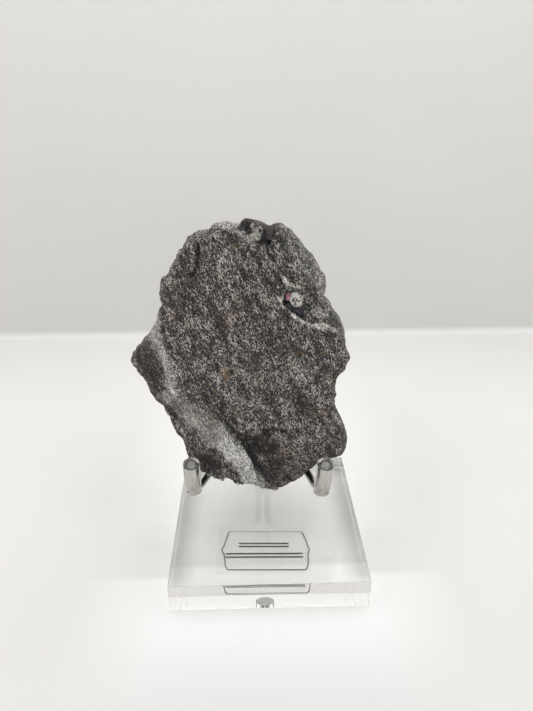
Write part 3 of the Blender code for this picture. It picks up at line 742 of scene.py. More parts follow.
def rock_marks(points, x, y, facing):
    """Two sets of shares at each point: pale, mica, bevel, rust; and tone, brown, dull, relief. Relief is the
    rock's relief and grain as painted shade, darker in hollows and lighter on crests.
    """
    # Relief and grain, turned into painted shade: darker in hollows, lighter on crests.
    relief = as_share(rock_relief(points) + GRAIN_SHADE * noise(points, *GRAIN))
    x, y = ragged(points, x, y, ROCK_WOBBLE, ROCK_WOBBLE_SEED)
    zones = [share(points, x, y, facing) for share in (pale_share, mica_share, bevel_share, rust_share)]
    tones = [share(points, x, y, facing) for share in (tone_share, brown_share, dull_share)]
    return np.stack(zones, axis=1), np.stack((*tones, relief), axis=1)


def write_marks(mesh, name, values):
    marks = mesh.attributes.new(name, "FLOAT_COLOR", "POINT")
    marks.data.foreach_set("color", values.ravel())


def hug_crystals(rock):
    """Draws the walls of the sockets in until the rock grips each crystal."""
    for node in GARNET_MARKS:
        crystal = bpy.data.objects[node + "_crystal"]
        corners = [vertex.co for vertex in crystal.data.vertices]
        surface = BVHTree.FromPolygons(corners, [face.vertices for face in crystal.data.polygons])
        low, high = (Vector(corner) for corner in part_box(node))
        for vertex in rock.data.vertices:
            if any(c < a - HUG_REACH or c > b + HUG_REACH for a, c, b in zip(low, vertex.co, high)):
                continue
            place, _, _, distance = surface.find_nearest(vertex.co, HUG_REACH)
            if place is None:
                continue
            share = 1 - float(ease(distance, HUG_FULL, HUG_REACH))
            vertex.co = vertex.co.lerp(place, share * (1 + HUG_DEPTH / max(distance, HUG_DEPTH)))


def push_out(thing, node, points, normals, push):
    """Moves each point along its normal, in millimetres, but not out of the node's own box."""
    low, high = (np.array(corner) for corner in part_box(node))
    moved = np.clip(points + normals * (push * MM)[:, None], low, high)
    thing.data.vertices.foreach_set("co", moved.ravel())
    thing.data.update()
    work_on(thing)
    bpy.ops.object.shade_smooth()


def make_rock(material):
    rock = copy_of_node("matrix", "rock")
    modify(rock, "REMESH", mode="VOXEL", voxel_size=VOXEL, adaptivity=0.0)
    modify(rock, "SMOOTH", factor=0.5, iterations=4)
    hug_crystals(rock)
    points, normals = read_points(rock.data), read_normals(rock.data)
    local = in_stone_frame(points)
    x, y = seen_place(local)
    facing = facing_camera(points, normals)
    zones, tones = rock_marks(local, x, y, facing)
    write_marks(rock.data, "zones", zones)
    write_marks(rock.data, "tones", tones)
    push_out(rock, "matrix", points, normals, rock_roughness(local, x, y, facing))
    finish_piece(rock, "matrix", material)


def crystal_marks(node, points, facing):
    """Shares of crust, painted red glow and glints, and black that is partly painted shade, at each point of
    a crystal.
    """
    marks = GARNET_MARKS[node]
    x, y = ragged(points, *seen_place(points), CRYSTAL_WOBBLE, CRYSTAL_WOBBLE_SEED)
    crust, red_glow, black_and_shade = np.zeros((3, len(points)))
    for patch in marks["crust"]:
        crust = np.maximum(crust, in_patch(x, y, *patch, CRUST_CORE, CRUST_FADE))
    for *patch, strength in marks["red_glow"]:
        red_glow = np.maximum(red_glow, strength * in_patch(x, y, *patch))
    for line, width in marks["black_and_shade"]:
        black_and_shade = np.maximum(black_and_shade, near_line(x, y, line, width))
    crust = crust * ease(noise(points, *CRUST_GAPS) + noise(points, *CRUST_BREAKS), *CRUST_GAP_LEVELS)
    return facing * crust, facing * np.clip(red_glow, 0, 1), facing * black_and_shade


def make_garnet(node, material):
    """A crystal with eased edges, growth steps, pits and a crust of fine mica."""
    crystal = copy_of_node(node, node + "_crystal")
    modify(crystal, "BEVEL", width=CRYSTAL_EDGE, segments=2, limit_method="ANGLE", angle_limit=CRYSTAL_CORNER)
    modify(crystal, "REMESH", mode="VOXEL", voxel_size=CRYSTAL_VOXEL, adaptivity=0.0)
    modify(crystal, "SMOOTH", factor=0.5, iterations=2)
    points, normals = read_points(crystal.data), read_normals(crystal.data)
    local = in_stone_frame(points)
    crust, red_glow, black_and_shade = crystal_marks(node, local, facing_camera(points, normals))
    write_marks(crystal.data, "coat", np.stack((crust, red_glow, black_and_shade, np.ones(len(points))), axis=1))
    push = noise(local, *CRYSTAL_STEPS) + noise(local, *CRYSTAL_GRAIN)
    push -= pits(local, CRYSTAL_PITS, CRYSTAL_PIT_LEVEL, CRYSTAL_PIT_DEPTH) + BLACK_DEPTH * black_and_shade
    push += crust * (CRUST_THICK + noise(local, *CRUST_LUMPS))
    push_out(crystal, node, points, normals, push)
    finish_piece(crystal, node, material)


def rounded_path(corners, bends, steps=10):
    """Points along straight runs joined by arcs of the given radii."""
    points = [corners[0]]
    for before, corner, after, bend in zip(corners[:-2], corners[1:-1], corners[2:], bends):
        back, ahead = (before - corner).normalized(), (after - corner).normalized()
        half = back.angle(ahead) / 2
        reach = bend / math.tan(half)
        middle = corner + (back + ahead).normalized() * (bend / math.sin(half))
        start = (corner + back * reach - middle).normalized()
        end = (corner + ahead * reach - middle).normalized()
        for step in range(steps + 1):
            points.append(middle + start.slerp(end, step / steps) * bend)
    points.append(corners[-1])
    return points


def rod_line(word):
    """The corners of a bent rod, from its foot to its end, and the lean of that end."""
    side = 1 if word == "right" else -1
    foot_x = ROD_FOOT[0] + side * ROD_PITCH / 2
    foot = Vector((foot_x, ROD_FOOT[1], ROD_FOOT_LIFT))
    top = Vector((foot_x, ROD_FOOT[1], ROD_TOP))
    elbow, lean = ELBOWS[word], LEANS[word]
    end = elbow + lean * (TIP_ABOVE - ROD_SHORT_OF_TIP)
    return [foot, top, elbow, end], lean


def stand_on(thing, place, lean):
    """Turns an upright piece into a rod's lean and sets it down at a place on the rod."""
    upright = Vector((0, 0, 1)).rotation_difference(lean)
    thing.matrix_world = Matrix.Translation(place) @ upright.to_matrix().to_4x4()
    apply_place(thing)


def tube(name, word, radius, short=0.0):
    """A round rod along the bent line, as a mesh."""
    corners, lean = rod_line(word)
    corners[-1] = corners[-1] - lean * short
    curve = bpy.data.curves.new(name, "CURVE")
    curve.dimensions = "3D"
    curve.bevel_depth = radius
    curve.bevel_resolution = 8
    curve.use_fill_caps = True
    path = rounded_path(corners, (TOP_BEND, ELBOW_BEND))
    spline = curve.splines.new("POLY")
    spline.points.add(len(path) - 1)
    for point, place in zip(spline.points, path):
        point.co = (*place, 1.0)
    thing = bpy.data.objects.new(name, curve)
    bpy.context.scene.collection.objects.link(thing)
    work_on(thing)
    bpy.ops.object.convert(target="MESH")
    thing = bpy.context.object
    thing.name = name
    work_on(thing)
    shape(bpy.ops.mesh.select_all, action="SELECT")
    shape(bpy.ops.mesh.remove_doubles, threshold=TUBE_MERGE)
    shape(bpy.ops.mesh.normals_make_consistent, inside=False)
    return thing


def make_rod(word, material):
    rod = tube("rod_" + word, word, ROD_RADIUS)
    modify(rod, "BEVEL", width=ROD_EDGE, segments=3, limit_method="ANGLE", angle_limit=math.radians(50))
    bpy.ops.object.shade_smooth_by_angle(angle=math.radians(35))
    finish_piece(rod, "arm_" + word, material)


def make_sleeve(word, material):
    """Clear sleeve with a flat top and a soft edge, bored for the bent rod inside it."""
    corners, lean = rod_line(word)
    height = TIP_ABOVE - TIP_FOOT
    deselect_all()
    bpy.ops.mesh.primitive_cylinder_add(
        vertices=48, radius=TIP_RADIUS, depth=height, location=(0, 0, TIP_FOOT + height / 2))
    sleeve = bpy.context.object
    sleeve.name = "sleeve_" + word
    apply_place(sleeve)
    select_edges(sleeve, lambda start, end: min(start.z, end.z) > TIP_ABOVE - CLOSE)
    shape(bpy.ops.mesh.bevel, offset=TIP_ROUND, segments=6, affect="EDGES")
    select_edges(sleeve, lambda start, end: max(start.z, end.z) < TIP_FOOT + CLOSE)
    shape(bpy.ops.mesh.bevel, offset=TIP_FOOT_EDGE, segments=3, affect="EDGES")
    stand_on(sleeve, corners[2], lean)
    bore = tube("bore", word, ROD_RADIUS - GRIP, short=GRIP)
    modify(sleeve, "BOOLEAN", operation="DIFFERENCE", solver="EXACT", object=bore)
    bpy.data.objects.remove(bore, do_unlink=True)
    work_on(sleeve)
    bpy.ops.object.shade_smooth_by_angle(angle=math.radians(40))
    finish_piece(sleeve, "tip_" + word, material)


def make_rod_end(word, rim, middle):
    """A dark ring of painted shade, standing for the dark seen in the rim of the sleeve's bore, round the
    lighter, ground flat end of the rod.
    """
    corners, lean = rod_line(word)
    deselect_all()
    bpy.ops.mesh.primitive_cylinder_add(vertices=32, radius=END_RADIUS, depth=END_THICK)
    end = bpy.context.object
    end.name = "rod_end_" + word
    select_faces(end, lambda normal: normal.z > 0.9)
    shape(bpy.ops.mesh.inset, thickness=END_RIM, depth=END_STEP)
    for face in end.data.polygons:
        face.material_index = int(face.select)
    stand_on(end, corners[3], lean)
    finish_trim(end, "rod", rim, middle)


def make_socket_glue(material):
    """A thin round pad of grey glue under the two rods."""
    deselect_all()
    height = BLOCK_HEIGHT - SOCKET_DEPTH + GLUE_THICK / 2 - GLUE_CONTACT
    bpy.ops.mesh.primitive_cylinder_add(
        vertices=64, radius=SOCKET_RADIUS - GLUE_GAP, depth=GLUE_THICK, location=(*ROD_FOOT, height))
    pad = bpy.context.object
    pad.name = "socket_glue"
    apply_place(pad)
    select_faces(pad, lambda normal: normal.z > 0.9)
    shape(bpy.ops.mesh.inset, thickness=GLUE_RIM, depth=-GLUE_DISH)
    finish_trim(pad, "acrylic", material)


def make_block(material):
    """Clear block with polished edges and a round socket for the two rods."""
    deselect_all()
    bpy.ops.mesh.primitive_cube_add(size=1, location=(0, 0, BLOCK_HEIGHT / 2))
    block = bpy.context.object
    block.name = "clear_block"
    block.scale = (BLOCK_SIDE, BLOCK_SIDE, BLOCK_HEIGHT)
    apply_place(block)
    deselect_all()
    bpy.ops.mesh.primitive_cylinder_add(
        vertices=96, radius=SOCKET_RADIUS, depth=2 * SOCKET_DEPTH, location=(*ROD_FOOT, BLOCK_HEIGHT))
    socket = bpy.context.object
    modify(block, "BOOLEAN", operation="DIFFERENCE", solver="EXACT", object=socket)
    bpy.data.objects.remove(socket, do_unlink=True)
    modify(block, "BEVEL", width=BLOCK_EDGE, segments=4, limit_method="ANGLE", angle_limit=math.radians(60))
    finish_piece(block, "base", material)


def make_label(film, ink):
    """A clear film under the block, with a printed frame and ruled lines on it."""
    deselect_all()
    bpy.ops.mesh.primitive_cube_add(size=1, location=(*LABEL_CENTRE, LABEL_LIFT + LABEL_SIZE[2] / 2))
    label = bpy.context.object
    label.name = "label_card"
    label.scale = LABEL_SIZE
    label.rotation_euler.z = LABEL_TURN
    apply_place(label)
    modify(label, "BEVEL", width=LABEL_EDGE, segments=2, limit_method="ANGLE")
    finish_piece(label, "label", film)
    for number, (line, width) in enumerate(INK_LINES):
        print_line("ink_line_%d" % number, line, width * MM, ink)


def print_line(name, line, width, ink):
    """A thin printed ribbon just above the film: an upright end face, drawn out from point to point."""
    height = LABEL_LIFT + LABEL_SIZE[2] + INK_GAP + INK_THICK / 2
    points = [Vector((x * MM, y * MM, height)) for x, y in line]
    ways = [after - before for before, after in zip(points[:1] + points[:-1], points[1:] + points[-1:])]
    headings = [math.atan2(way.y, way.x) for way in ways]
    deselect_all()
    bpy.ops.mesh.primitive_plane_add(size=1, location=points[0], rotation=(0, math.pi / 2, headings[0]))
    ribbon = bpy.context.object
    ribbon.name = name
    ribbon.scale = (INK_THICK, width, 1)
    apply_place(ribbon)
    bpy.ops.object.mode_set(mode="EDIT")
    bpy.ops.mesh.select_all(action="SELECT")
    for start, end, before, after in zip(points, points[1:], headings, headings[1:]):
        bpy.ops.mesh.extrude_region_move(TRANSFORM_OT_translate={"value": end - start})
        bpy.ops.transform.rotate(value=before - after, orient_axis="Z", center_override=end)
    bpy.ops.mesh.select_all(action="SELECT")
    bpy.ops.mesh.normals_make_consistent(inside=False)
    bpy.ops.object.mode_set(mode="OBJECT")
    finish_trim(ribbon, "label", ink)


# Materials.


def new_material(name):
    """A material, its node tree and its shader."""
    material = bpy.data.materials.new(name)
    material.use_nodes = True
    return material, material.node_tree, material.node_tree.nodes["Principled BSDF"]


def fill(tree, socket, value):
    """Feeds a socket from another socket, or sets its value."""
    if isinstance(value, bpy.types.NodeSocket):
        tree.links.new(value, socket)
    else:
        socket.default_value = value


def as_colour(value):
    """A grey or a colour with its alpha."""
    return (*value, 1) if hasattr(value, "__len__") else (value, value, value, 1)


def add_node(tree, kind, inputs=None, **settings):
    """A node with its settings; inputs are values, or the sockets that feed them."""
    node = tree.nodes.new(kind)
    for name, value in settings.items():
        setattr(node, name, value)
    for name, value in (inputs or {}).items():
        fill(tree, node.inputs[name], value)
    return node


def ramp(tree, fac, stops):
    """A colour ramp from (place, grey or colour) stops."""
    node = tree.nodes.new("ShaderNodeValToRGB")
    tree.links.new(fac, node.inputs["Fac"])
    elements = node.color_ramp.elements
    while len(elements) < len(stops):
        elements.new(0.5)
    for element, (place, colour) in zip(elements, stops):
        element.position = place
        element.color = as_colour(colour)
    return node.outputs["Color"]


def maths(tree, operation, first, second=0.0, clamp=False):
    node = add_node(tree, "ShaderNodeMath", {0: first, 1: second}, operation=operation, use_clamp=clamp)
    return node.outputs[0]


def mix(tree, fac, first, second, kind="MIX"):
    """One colour over another, or the two combined, by a share."""
    node = add_node(tree, "ShaderNodeMix", data_type="RGBA", blend_type=kind)
    fill(tree, node.inputs[0], fac)
    for socket, value in zip(node.inputs[6:8], (first, second)):
        fill(tree, socket, value if isinstance(value, bpy.types.NodeSocket) else as_colour(value))
    return node.outputs[2]


def spread(tree, value, low, high):
    """A share as a value from low to high."""
    return add_node(tree, "ShaderNodeMapRange", {"Value": value, "To Min": low, "To Max": high}).outputs[0]


def share_of(tree, value, start, end):
    """How far a value has come from start to end, from 0 to 1."""
    node = add_node(tree, "ShaderNodeMapRange", {"Value": value, "From Min": start, "From Max": end})
    return node.outputs[0]


def bump(tree, height, strength, depth):
    node = add_node(tree, "ShaderNodeBump", {"Height": height, "Strength": strength, "Distance": depth})
    return node.outputs["Normal"]


def millimetres(tree, stretch=(1, 1, 1)):
    """Object coordinates in millimetres, stretched."""
    place = add_node(tree, "ShaderNodeTexCoord").outputs["Object"]
    scale = tuple(1 / MM / value for value in stretch)
    return add_node(tree, "ShaderNodeMapping", {"Vector": place, "Scale": scale}).outputs[0]


def cloud(tree, place, size, detail, rough=0.5):
    """Cloudy noise with this many clouds per millimetre."""
    node = add_node(tree, "ShaderNodeTexNoise", {
        "Vector": place, "Scale": size, "Detail": detail, "Roughness": rough})
    return node.outputs["Fac"]


def new_group(name, inputs, outputs):
    """A shader node group with these named inputs and outputs."""
    tree = bpy.data.node_groups.new(name, "ShaderNodeTree")
    for label, kind, value in inputs:
        socket = tree.interface.new_socket(label, in_out="INPUT", socket_type="NodeSocket" + kind)
        if value is not None:
            socket.default_value = value
    for label, kind in outputs:
        tree.interface.new_socket(label, in_out="OUTPUT", socket_type="NodeSocket" + kind)
    return tree, tree.nodes.new("NodeGroupInput").outputs, tree.nodes.new("NodeGroupOutput").inputs


def place_group(tree, group, inputs):
    """The outputs of a node group that is placed with these inputs."""
    node = tree.nodes.new("ShaderNodeGroup")
    node.node_tree = group
    for name, value in inputs.items():
        fill(tree, node.inputs[name], value)
    return node.outputs


def stone_place(tree, turn=0.0, stretch=(1, 1, 1)):
    """Millimetres in the rock's own frame, turned about its face's normal and stretched."""
    place = add_node(tree, "ShaderNodeTexCoord").outputs["Object"]
    local = add_node(tree, "ShaderNodeMapping", {
        "Vector": place, "Location": STONE_PLACE, "Scale": (MM, MM, MM),
        "Rotation": (math.pi / 2 - STONE_LEAN, 0.0, STONE_TURN)}, vector_type="TEXTURE")
    turned = add_node(tree, "ShaderNodeMapping", {
        "Vector": local.outputs[0], "Rotation": (0, 0, turn), "Scale": stretch}, vector_type="TEXTURE")
    return turned.outputs[0]


def grain_group():
    """Speckled mineral grains: shade and tint of each grain, and the height of its tilted facet."""
    tree, given, result = new_group(
        "mineral_grains",
        (("Vector", "Vector", None), ("Grains per mm", "Float", 1.6), ("Speckle", "Float", 0.5)),
        (("Shade", "Float"), ("Tint", "Float"), ("Height", "Float")))
    cells = add_node(tree, "ShaderNodeTexVoronoi", {
        "Vector": given["Vector"], "Scale": given["Grains per mm"]})
    random = add_node(tree, "ShaderNodeSeparateColor", {"Color": cells.outputs["Color"]}).outputs
    coarse = cloud(tree, given["Vector"], *CLUSTERS)
    offset = add_node(tree, "ShaderNodeVectorMath", {
        0: given["Vector"], 1: cells.outputs["Position"]}, operation="SUBTRACT")
    tilt = add_node(tree, "ShaderNodeVectorMath", {
        0: cells.outputs["Color"], 1: (0.5, 0.5, 0.5)}, operation="SUBTRACT")
    facet = add_node(tree, "ShaderNodeVectorMath", {
        0: offset.outputs[0], 1: tilt.outputs[0]}, operation="DOT_PRODUCT")
    speckle = maths(tree, "MULTIPLY", maths(tree, "SUBTRACT", random[0], 0.5), given["Speckle"])
    clusters = maths(tree, "MULTIPLY", maths(tree, "SUBTRACT", coarse, 0.5), CLUSTER_STRENGTH)
    step = maths(tree, "MULTIPLY", random[2], GRAIN_STEP)
    tree.links.new(maths(tree, "ADD", maths(tree, "ADD", speckle, clusters), 0.5), result["Shade"])
    tree.links.new(random[1], result["Tint"])
    tree.links.new(maths(tree, "ADD", facet.outputs["Value"], step), result["Height"])
    return tree


def smudge_group():
    """Uneven gloss of a handled surface."""
    tree, given, result = new_group(
        "handling_smudges",
        (("Vector", "Vector", None), ("Cleanest", "Float", 0.0), ("Dullest", "Float", 0.1)),
        (("Roughness", "Float"),))
    soft = maths(tree, "MULTIPLY", cloud(tree, given["Vector"], *SMEARS), SMEAR_SHARE)
    fine = maths(tree, "MULTIPLY", cloud(tree, given["Vector"], *SPECKS), 1 - SMEAR_SHARE)
    rough = add_node(tree, "ShaderNodeMapRange", {
        "Value": maths(tree, "ADD", soft, fine), "From Min": SMUDGE_START, "From Max": SMUDGE_FULL,
        "To Min": given["Cleanest"], "To Max": given["Dullest"]})
    tree.links.new(rough.outputs[0], result["Roughness"])
    return tree


def marks_of(tree, name):
    """The channels of a vertex mark."""
    mark = add_node(tree, "ShaderNodeAttribute", attribute_name=name)
    split = add_node(tree, "ShaderNodeSeparateColor", {"Color": mark.outputs["Color"]})
    return (*split.outputs, mark.outputs["Alpha"])


def schist_material(grains):
    """Dark speckled mica schist with a pale quartz band, bright mica and rust, and painted shade in its
    hollows and cracks.
    """
    material, tree, shader = new_material("mica_schist")
    pale, mica, bevel, rust = marks_of(tree, "zones")
    tone, brown, dull, relief = marks_of(tree, "tones")
    calm = 0.0
    for mark, strength in ((brown, BROWN_CALM), (dull, DULL_CALM), (bevel, SMOOTH_CALM)):
        calm = maths(tree, "ADD", calm, maths(tree, "MULTIPLY", mark, strength))
    fine = place_group(tree, grains, {
        "Vector": stone_place(tree, FOLIATION, GRAIN_STRETCH), "Grains per mm": ROCK_GRAINS,
        "Speckle": maths(tree, "SUBTRACT", 1.0, calm, clamp=True)})
    needles = cloud(tree, stone_place(tree, FOLIATION, NEEDLE_LENGTHS), *STREAK_NOISE)
    bands = cloud(tree, stone_place(tree, FOLIATION, BAND_LENGTHS), *STREAK_NOISE)
    clouds = cloud(tree, stone_place(tree), *CLOUDS)
    shade = fine["Shade"]
    # Relief adds painted shade to hollows and painted light to crests; tone adds painted shade in the cracks
    # and under the tongue.
    for value, strength in zip((needles, bands, clouds, relief, tone), SHADE_STRENGTHS):
        change = maths(tree, "MULTIPLY", maths(tree, "SUBTRACT", value, 0.5), strength)
        shade = maths(tree, "ADD", shade, change)
    shade = maths(tree, "ADD", shade, maths(tree, "MULTIPLY", dull, DULL_SHADE))
    warm = mix(tree, maths(tree, "MULTIPLY", brown, BROWN_STRENGTH), (1, 1, 1), WARM)
    body = mix(tree, 1.0, ramp(tree, shade, SCHIST_SHADES), warm, "MULTIPLY")
    body = mix(tree, 1.0, body, mix(tree, fine["Tint"], COLD_GRAIN, WARM_GRAIN), "MULTIPLY")
    colour = mix(tree, pale, body, ramp(tree, shade, QUARTZ_SHADES))
    colour = mix(tree, mica, colour, ramp(tree, shade, MICA_SHADES))
    slate = maths(tree, "MULTIPLY", bevel, SLATE_STRENGTH)
    colour = mix(tree, slate, colour, ramp(tree, shade, SLATE_SHADES))
    colour = mix(tree, maths(tree, "MULTIPLY", rust, RUST_STRENGTH), colour, RUST_COLOUR)
    tree.links.new(colour, shader.inputs["Base Color"])
    tree.links.new(spread(tree, fine["Tint"], *ROCK_GLOSS), shader.inputs["Roughness"])
    tree.links.new(bump(tree, fine["Height"], *ROCK_BUMP), shader.inputs["Normal"])
    return material


def scaled(colour, share):
    return tuple(share * value for value in colour)


def garnet_material(name, grains, body, glow, frost):
    """Dark crystal with painted red glints and glow in thin places, black pits and grooves that are partly
    painted shade, and a granular mica crust of that brightness.
    """
    material, tree, shader = new_material(name)
    shader.inputs["Specular IOR Level"].default_value = CRYSTAL_SHINE
    crust, red_glow, black_and_shade, _ = marks_of(tree, "coat")
    fine = place_group(tree, grains, {
        "Vector": stone_place(tree), "Grains per mm": CRUST_GRAINS, "Speckle": 0.5})
    soft = cloud(tree, stone_place(tree), *CRYSTAL_CLOUDS)
    shades = ((0.35, scaled(body, CRYSTAL_DARKEST)), (0.65, body))
    colour = mix(tree, red_glow, ramp(tree, soft, shades), glow)
    colour = mix(tree, black_and_shade, colour, BLACK_PIT_AND_SHADE)
    mica = [(place, scaled(shade, frost)) for place, shade in CRUST_SHADES]
    colour = mix(tree, crust, colour, ramp(tree, fine["Shade"], mica))
    grains_height = maths(tree, "MULTIPLY", fine["Height"], crust)
    height = maths(tree, "ADD", grains_height, maths(tree, "MULTIPLY", soft, CRYSTAL_WAVES))
    tree.links.new(colour, shader.inputs["Base Color"])
    tree.links.new(spread(tree, crust, *CRYSTAL_GLOSS), shader.inputs["Roughness"])
    tree.links.new(bump(tree, height, *CRYSTAL_BUMP), shader.inputs["Normal"])
    return material


def clear_material(name, smudges, tint, ior, cleanest, dullest):
    """A clear plastic, tinted a little, with smudges."""
    material, tree, shader = new_material(name)
    shader.inputs["Base Color"].default_value = (*tint, 1)
    shader.inputs["Transmission Weight"].default_value = 1.0
    shader.inputs["IOR"].default_value = ior
    gloss = place_group(tree, smudges, {
        "Vector": millimetres(tree), "Cleanest": cleanest, "Dullest": dullest})
    tree.links.new(gloss["Roughness"], shader.inputs["Roughness"])
    return material


def plain_material(name, place, shades, rough, metal=0.0, alpha=1.0):
    """An opaque, thin or dull piece whose shade varies a little: place is (stretch, size, detail)."""
    material, tree, shader = new_material(name)
    stretch, size, detail = place
    shade = ramp(tree, cloud(tree, millimetres(tree, stretch), size, detail), shades)
    tree.links.new(shade, shader.inputs["Base Color"])
    shader.inputs["Roughness"].default_value = rough
    shader.inputs["Metallic"].default_value = metal
    shader.inputs["Alpha"].default_value = alpha
    return material


def rod_material(smudges):
    """Polished metal with a painted reflection: painted dark where it faces the camera, for the dark room it
    would mirror there, and painted light at its edges and inside the sleeves.
    """
    material, tree, shader = new_material("polished_rod_painted_reflection")
    facing = add_node(tree, "ShaderNodeLayerWeight", {"Blend": 0.5}).outputs["Facing"]
    edge = ramp(tree, facing, ((0.16, 0.0), (0.34, 1.0)))
    across = add_node(tree, "ShaderNodeSeparateXYZ", {0: millimetres(tree)}).outputs["X"]
    outward = maths(tree, "ABSOLUTE", maths(tree, "SUBTRACT", across, SLEEVES_MIDDLE))
    sleeved = share_of(tree, outward, SLEEVED_FROM - SLEEVED_BLUR, SLEEVED_FROM)
    colour = mix(tree, maths(tree, "MAXIMUM", edge, sleeved), ROD_DARK_REFLECTION, ROD_LIGHT_REFLECTION)
    tree.links.new(colour, shader.inputs["Base Color"])
    shader.inputs["Metallic"].default_value = 1.0
    gloss = place_group(tree, smudges, {
        "Vector": millimetres(tree), "Cleanest": ROD_CLEANEST, "Dullest": ROD_DULLEST})
    tree.links.new(gloss["Roughness"], shader.inputs["Roughness"])
    return material


# Table, wall, light and camera.


def depth_stops(stops):
    """Stops given by their Y in millimetres, as stops along the stretch of the table with painted light and
    shade.
    """
    return [((y - PAINTED_LIGHT_FROM) / (PAINTED_LIGHT_TO - PAINTED_LIGHT_FROM), value) for y, value in stops]


def backdrop_material():
    """White table, with painted light and shade near the stand, painted shade just inside the block's side
    edges and painted darker toward the front, that runs up into a slightly greyer wall; the wall shows only
    its front.
    """
    material, tree, shader = new_material("backdrop_white")
    place = add_node(tree, "ShaderNodeSeparateXYZ", {0: millimetres(tree)}).outputs
    outward = maths(tree, "ABSOLUTE", place["X"])
    depth = share_of(tree, place["Y"], PAINTED_LIGHT_FROM, PAINTED_LIGHT_TO)
    # Painted shade toward the front of the table and painted light toward the wall.
    table = mix(tree, share_of(tree, place["Y"], TABLE_NEAR_Y / MM, WALL_Y / MM), TABLE_NEAR, TABLE_FAR)
    # Painted light and shade on the table near the stand.
    beside = share_of(tree, outward, PAINTED_LIGHT_OUTER, PAINTED_LIGHT_INNER)
    table = mix(tree, beside, table, ramp(tree, depth, depth_stops(PAINTED_LIGHT_STOPS)))
    # Painted shade just inside the block's two side edges.
    across = maths(tree, "MULTIPLY", outward, 1 / EDGE_SHADE_REACH)
    inside = ramp(tree, across, [(x / EDGE_SHADE_REACH, grey) for x, grey in EDGE_SHADE_STOPS])
    inside = mix(tree, ramp(tree, depth, depth_stops(EDGE_SHADE_LENGTH)), (1, 1, 1), inside)
    table = mix(tree, 1.0, table, inside, "MULTIPLY")
    paper = mix(tree, share_of(tree, place["Z"], 0.0, COVE_RADIUS / MM), table, WALL_COLOUR)
    mottle = ramp(tree, cloud(tree, millimetres(tree), *PAPER_CLOUDS), PAPER_MOTTLE)
    tree.links.new(mix(tree, 1.0, paper, mottle, "MULTIPLY"), shader.inputs["Base Color"])
    shader.inputs["Roughness"].default_value = PAPER_ROUGHNESS
    clear = add_node(tree, "ShaderNodeBsdfTransparent")
    back = add_node(tree, "ShaderNodeNewGeometry").outputs["Backfacing"]
    both = add_node(tree, "ShaderNodeMixShader", {0: back, 1: shader.outputs[0], 2: clear.outputs[0]})
    tree.links.new(both.outputs[0], tree.nodes["Material Output"].inputs["Surface"])
    return material


def make_stage():
    """One sheet: the table, and the wall that rises from its far edge in a small cove."""
    deselect_all()
    bpy.ops.mesh.primitive_plane_add(size=1, location=(0, WALL_Y - TABLE_DEPTH / 2, TABLE_DROP))
    backdrop = bpy.context.object
    backdrop.name = "backdrop"
    backdrop.scale = (TABLE_WIDTH, TABLE_DEPTH, 1)
    apply_place(backdrop)
    select_edges(backdrop, lambda start, end: min(start.y, end.y) > WALL_Y - MM)
    shape(bpy.ops.mesh.extrude_region_move, TRANSFORM_OT_translate={"value": (0, 0, WALL_HEIGHT)})
    select_edges(backdrop, lambda start, end: min(start.y, end.y) > WALL_Y - MM and max(start.z, end.z) < 0)
    shape(bpy.ops.mesh.bevel, offset=COVE_RADIUS, segments=8, affect="EDGES")
    bpy.ops.object.shade_smooth_by_angle(angle=math.radians(30))
    backdrop.data.materials.append(backdrop_material())


def make_room():
    """Light from all around: a bright room with a dark corner in front and a window high up behind."""
    world = bpy.data.worlds.new("room")
    bpy.context.scene.world = world
    world.use_nodes = True
    tree = world.node_tree
    place = add_node(tree, "ShaderNodeTexCoord").outputs["Generated"]
    way = add_node(tree, "ShaderNodeSeparateXYZ", {0: place})
    turned = maths(tree, "ADD", maths(tree, "MULTIPLY", way.outputs["Y"], 0.5), 0.5)
    around = ramp(tree, turned, tuple(zip(ROOM_TURNS, (ROOM_FRONT, ROOM_MIDDLE, ROOM_BACK))))
    above = ramp(tree, way.outputs["Z"], tuple(zip(ROOM_RISE, (0.0, 1.0))))
    room = mix(tree, above, around, ROOM_TOP)
    for heading, outer, inner, colour in (
            (SHADE_WAY, SHADE_OUTER, SHADE_INNER, SHADE_COLOUR),
            (WINDOW_WAY, WINDOW_OUTER, WINDOW_INNER, WINDOW_COLOUR)):
        near = add_node(tree, "ShaderNodeVectorMath", {0: place, 1: heading}, operation="DOT_PRODUCT")
        room = mix(tree, share_of(tree, near.outputs["Value"], outer, inner), room, colour)
    tree.links.new(room, tree.nodes["Background"].inputs["Color"])


def make_panel():
    """A soft ceiling panel over the table, which also lights the wall from above."""
    lamp = bpy.data.lights.new("ceiling_panel", "AREA")
    lamp.shape = "RECTANGLE"
    lamp.size = PANEL_WIDTH
    lamp.size_y = PANEL_DEPTH
    lamp.energy = PANEL_POWER
    lamp.color = PANEL_COLOUR
    light = bpy.data.objects.new("ceiling_panel", lamp)
    light.location = (0, WALL_Y - PANEL_DEPTH / 2, PANEL_HEIGHT)
    bpy.context.scene.collection.objects.link(light)


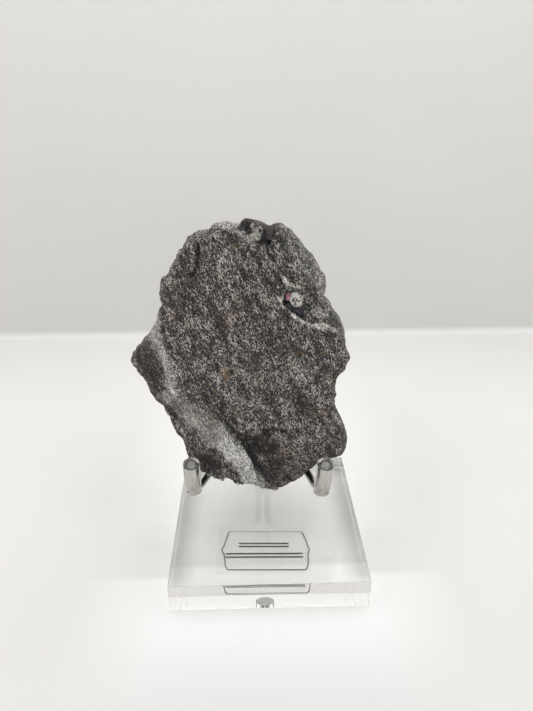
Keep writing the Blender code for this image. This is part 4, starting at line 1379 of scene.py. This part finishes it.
def make_camera():
    camera = bpy.data.cameras.new("camera")
    camera.sensor_fit = "AUTO"
    camera.sensor_width = SENSOR
    camera.lens = SENSOR * FOCAL_PIXELS / FRAME_HEIGHT
    camera.clip_start = NEAREST
    viewer = bpy.data.objects.new("camera", camera)
    viewer.location = CAMERA_PLACE
    viewer.rotation_euler = (math.pi / 2 - CAMERA_PITCH, 0, -CAMERA_YAW)
    bpy.context.scene.collection.objects.link(viewer)
    bpy.context.scene.camera = viewer


def make_stand(smudges):
    """The block, its label, the two rods with their sleeves, and the glue in the socket."""
    acrylic = clear_material("clear_acrylic", smudges, ACRYLIC_TINT, ior=1.49, cleanest=0.0, dullest=0.05)
    vinyl = clear_material("clear_vinyl", smudges, VINYL_TINT, ior=1.52, cleanest=0.08, dullest=0.26)
    film = plain_material("label_film", (EVEN, 3.0, 3.0), FILM_SHADES, rough=0.5, alpha=0.02)
    ink = plain_material("label_ink", (EVEN, 2.2, 2.0), INK_SHADES, rough=0.6)
    glue = plain_material("grey_glue", (EVEN, 0.5, 3.0), GLUE_SHADES, rough=0.55)
    rim = plain_material("bore_rim_painted_shade", WHEEL_MARKS, RIM_PAINTED_SHADES, rough=0.5, metal=0.3)
    ground = plain_material("ground_metal", WHEEL_MARKS, GROUND_SHADES, rough=0.5, metal=0.3)
    metal = rod_material(smudges)
    make_block(acrylic)
    make_label(film, ink)
    for word in ("left", "right"):
        make_rod(word, metal)
        make_sleeve(word, vinyl)
        make_rod_end(word, rim, ground)
    make_socket_glue(glue)


def make_stone(grains):
    """The two crystals, then the rock, whose lips are drawn in to them."""
    make_garnet("garnet_top", garnet_material("garnet_brown", grains, BROWN_BODY, BROWN_GLOW, frost=0.6))
    make_garnet("garnet_side", garnet_material("garnet_purple", grains, PURPLE_BODY, PURPLE_GLOW, frost=1.05))
    make_rock(schist_material(grains))


def main():
    make_camera()
    make_stage()
    make_room()
    make_panel()
    make_stand(smudge_group())
    make_stone(grain_group())
    scene = bpy.context.scene
    scene.view_settings.view_transform = "Standard"
    scene.cycles.blur_glossy = 0.0
    scene.cycles.max_bounces = CLEAR_BOUNCES
    scene.cycles.glossy_bounces = CLEAR_BOUNCES
    scene.cycles.transmission_bounces = CLEAR_BOUNCES


main()
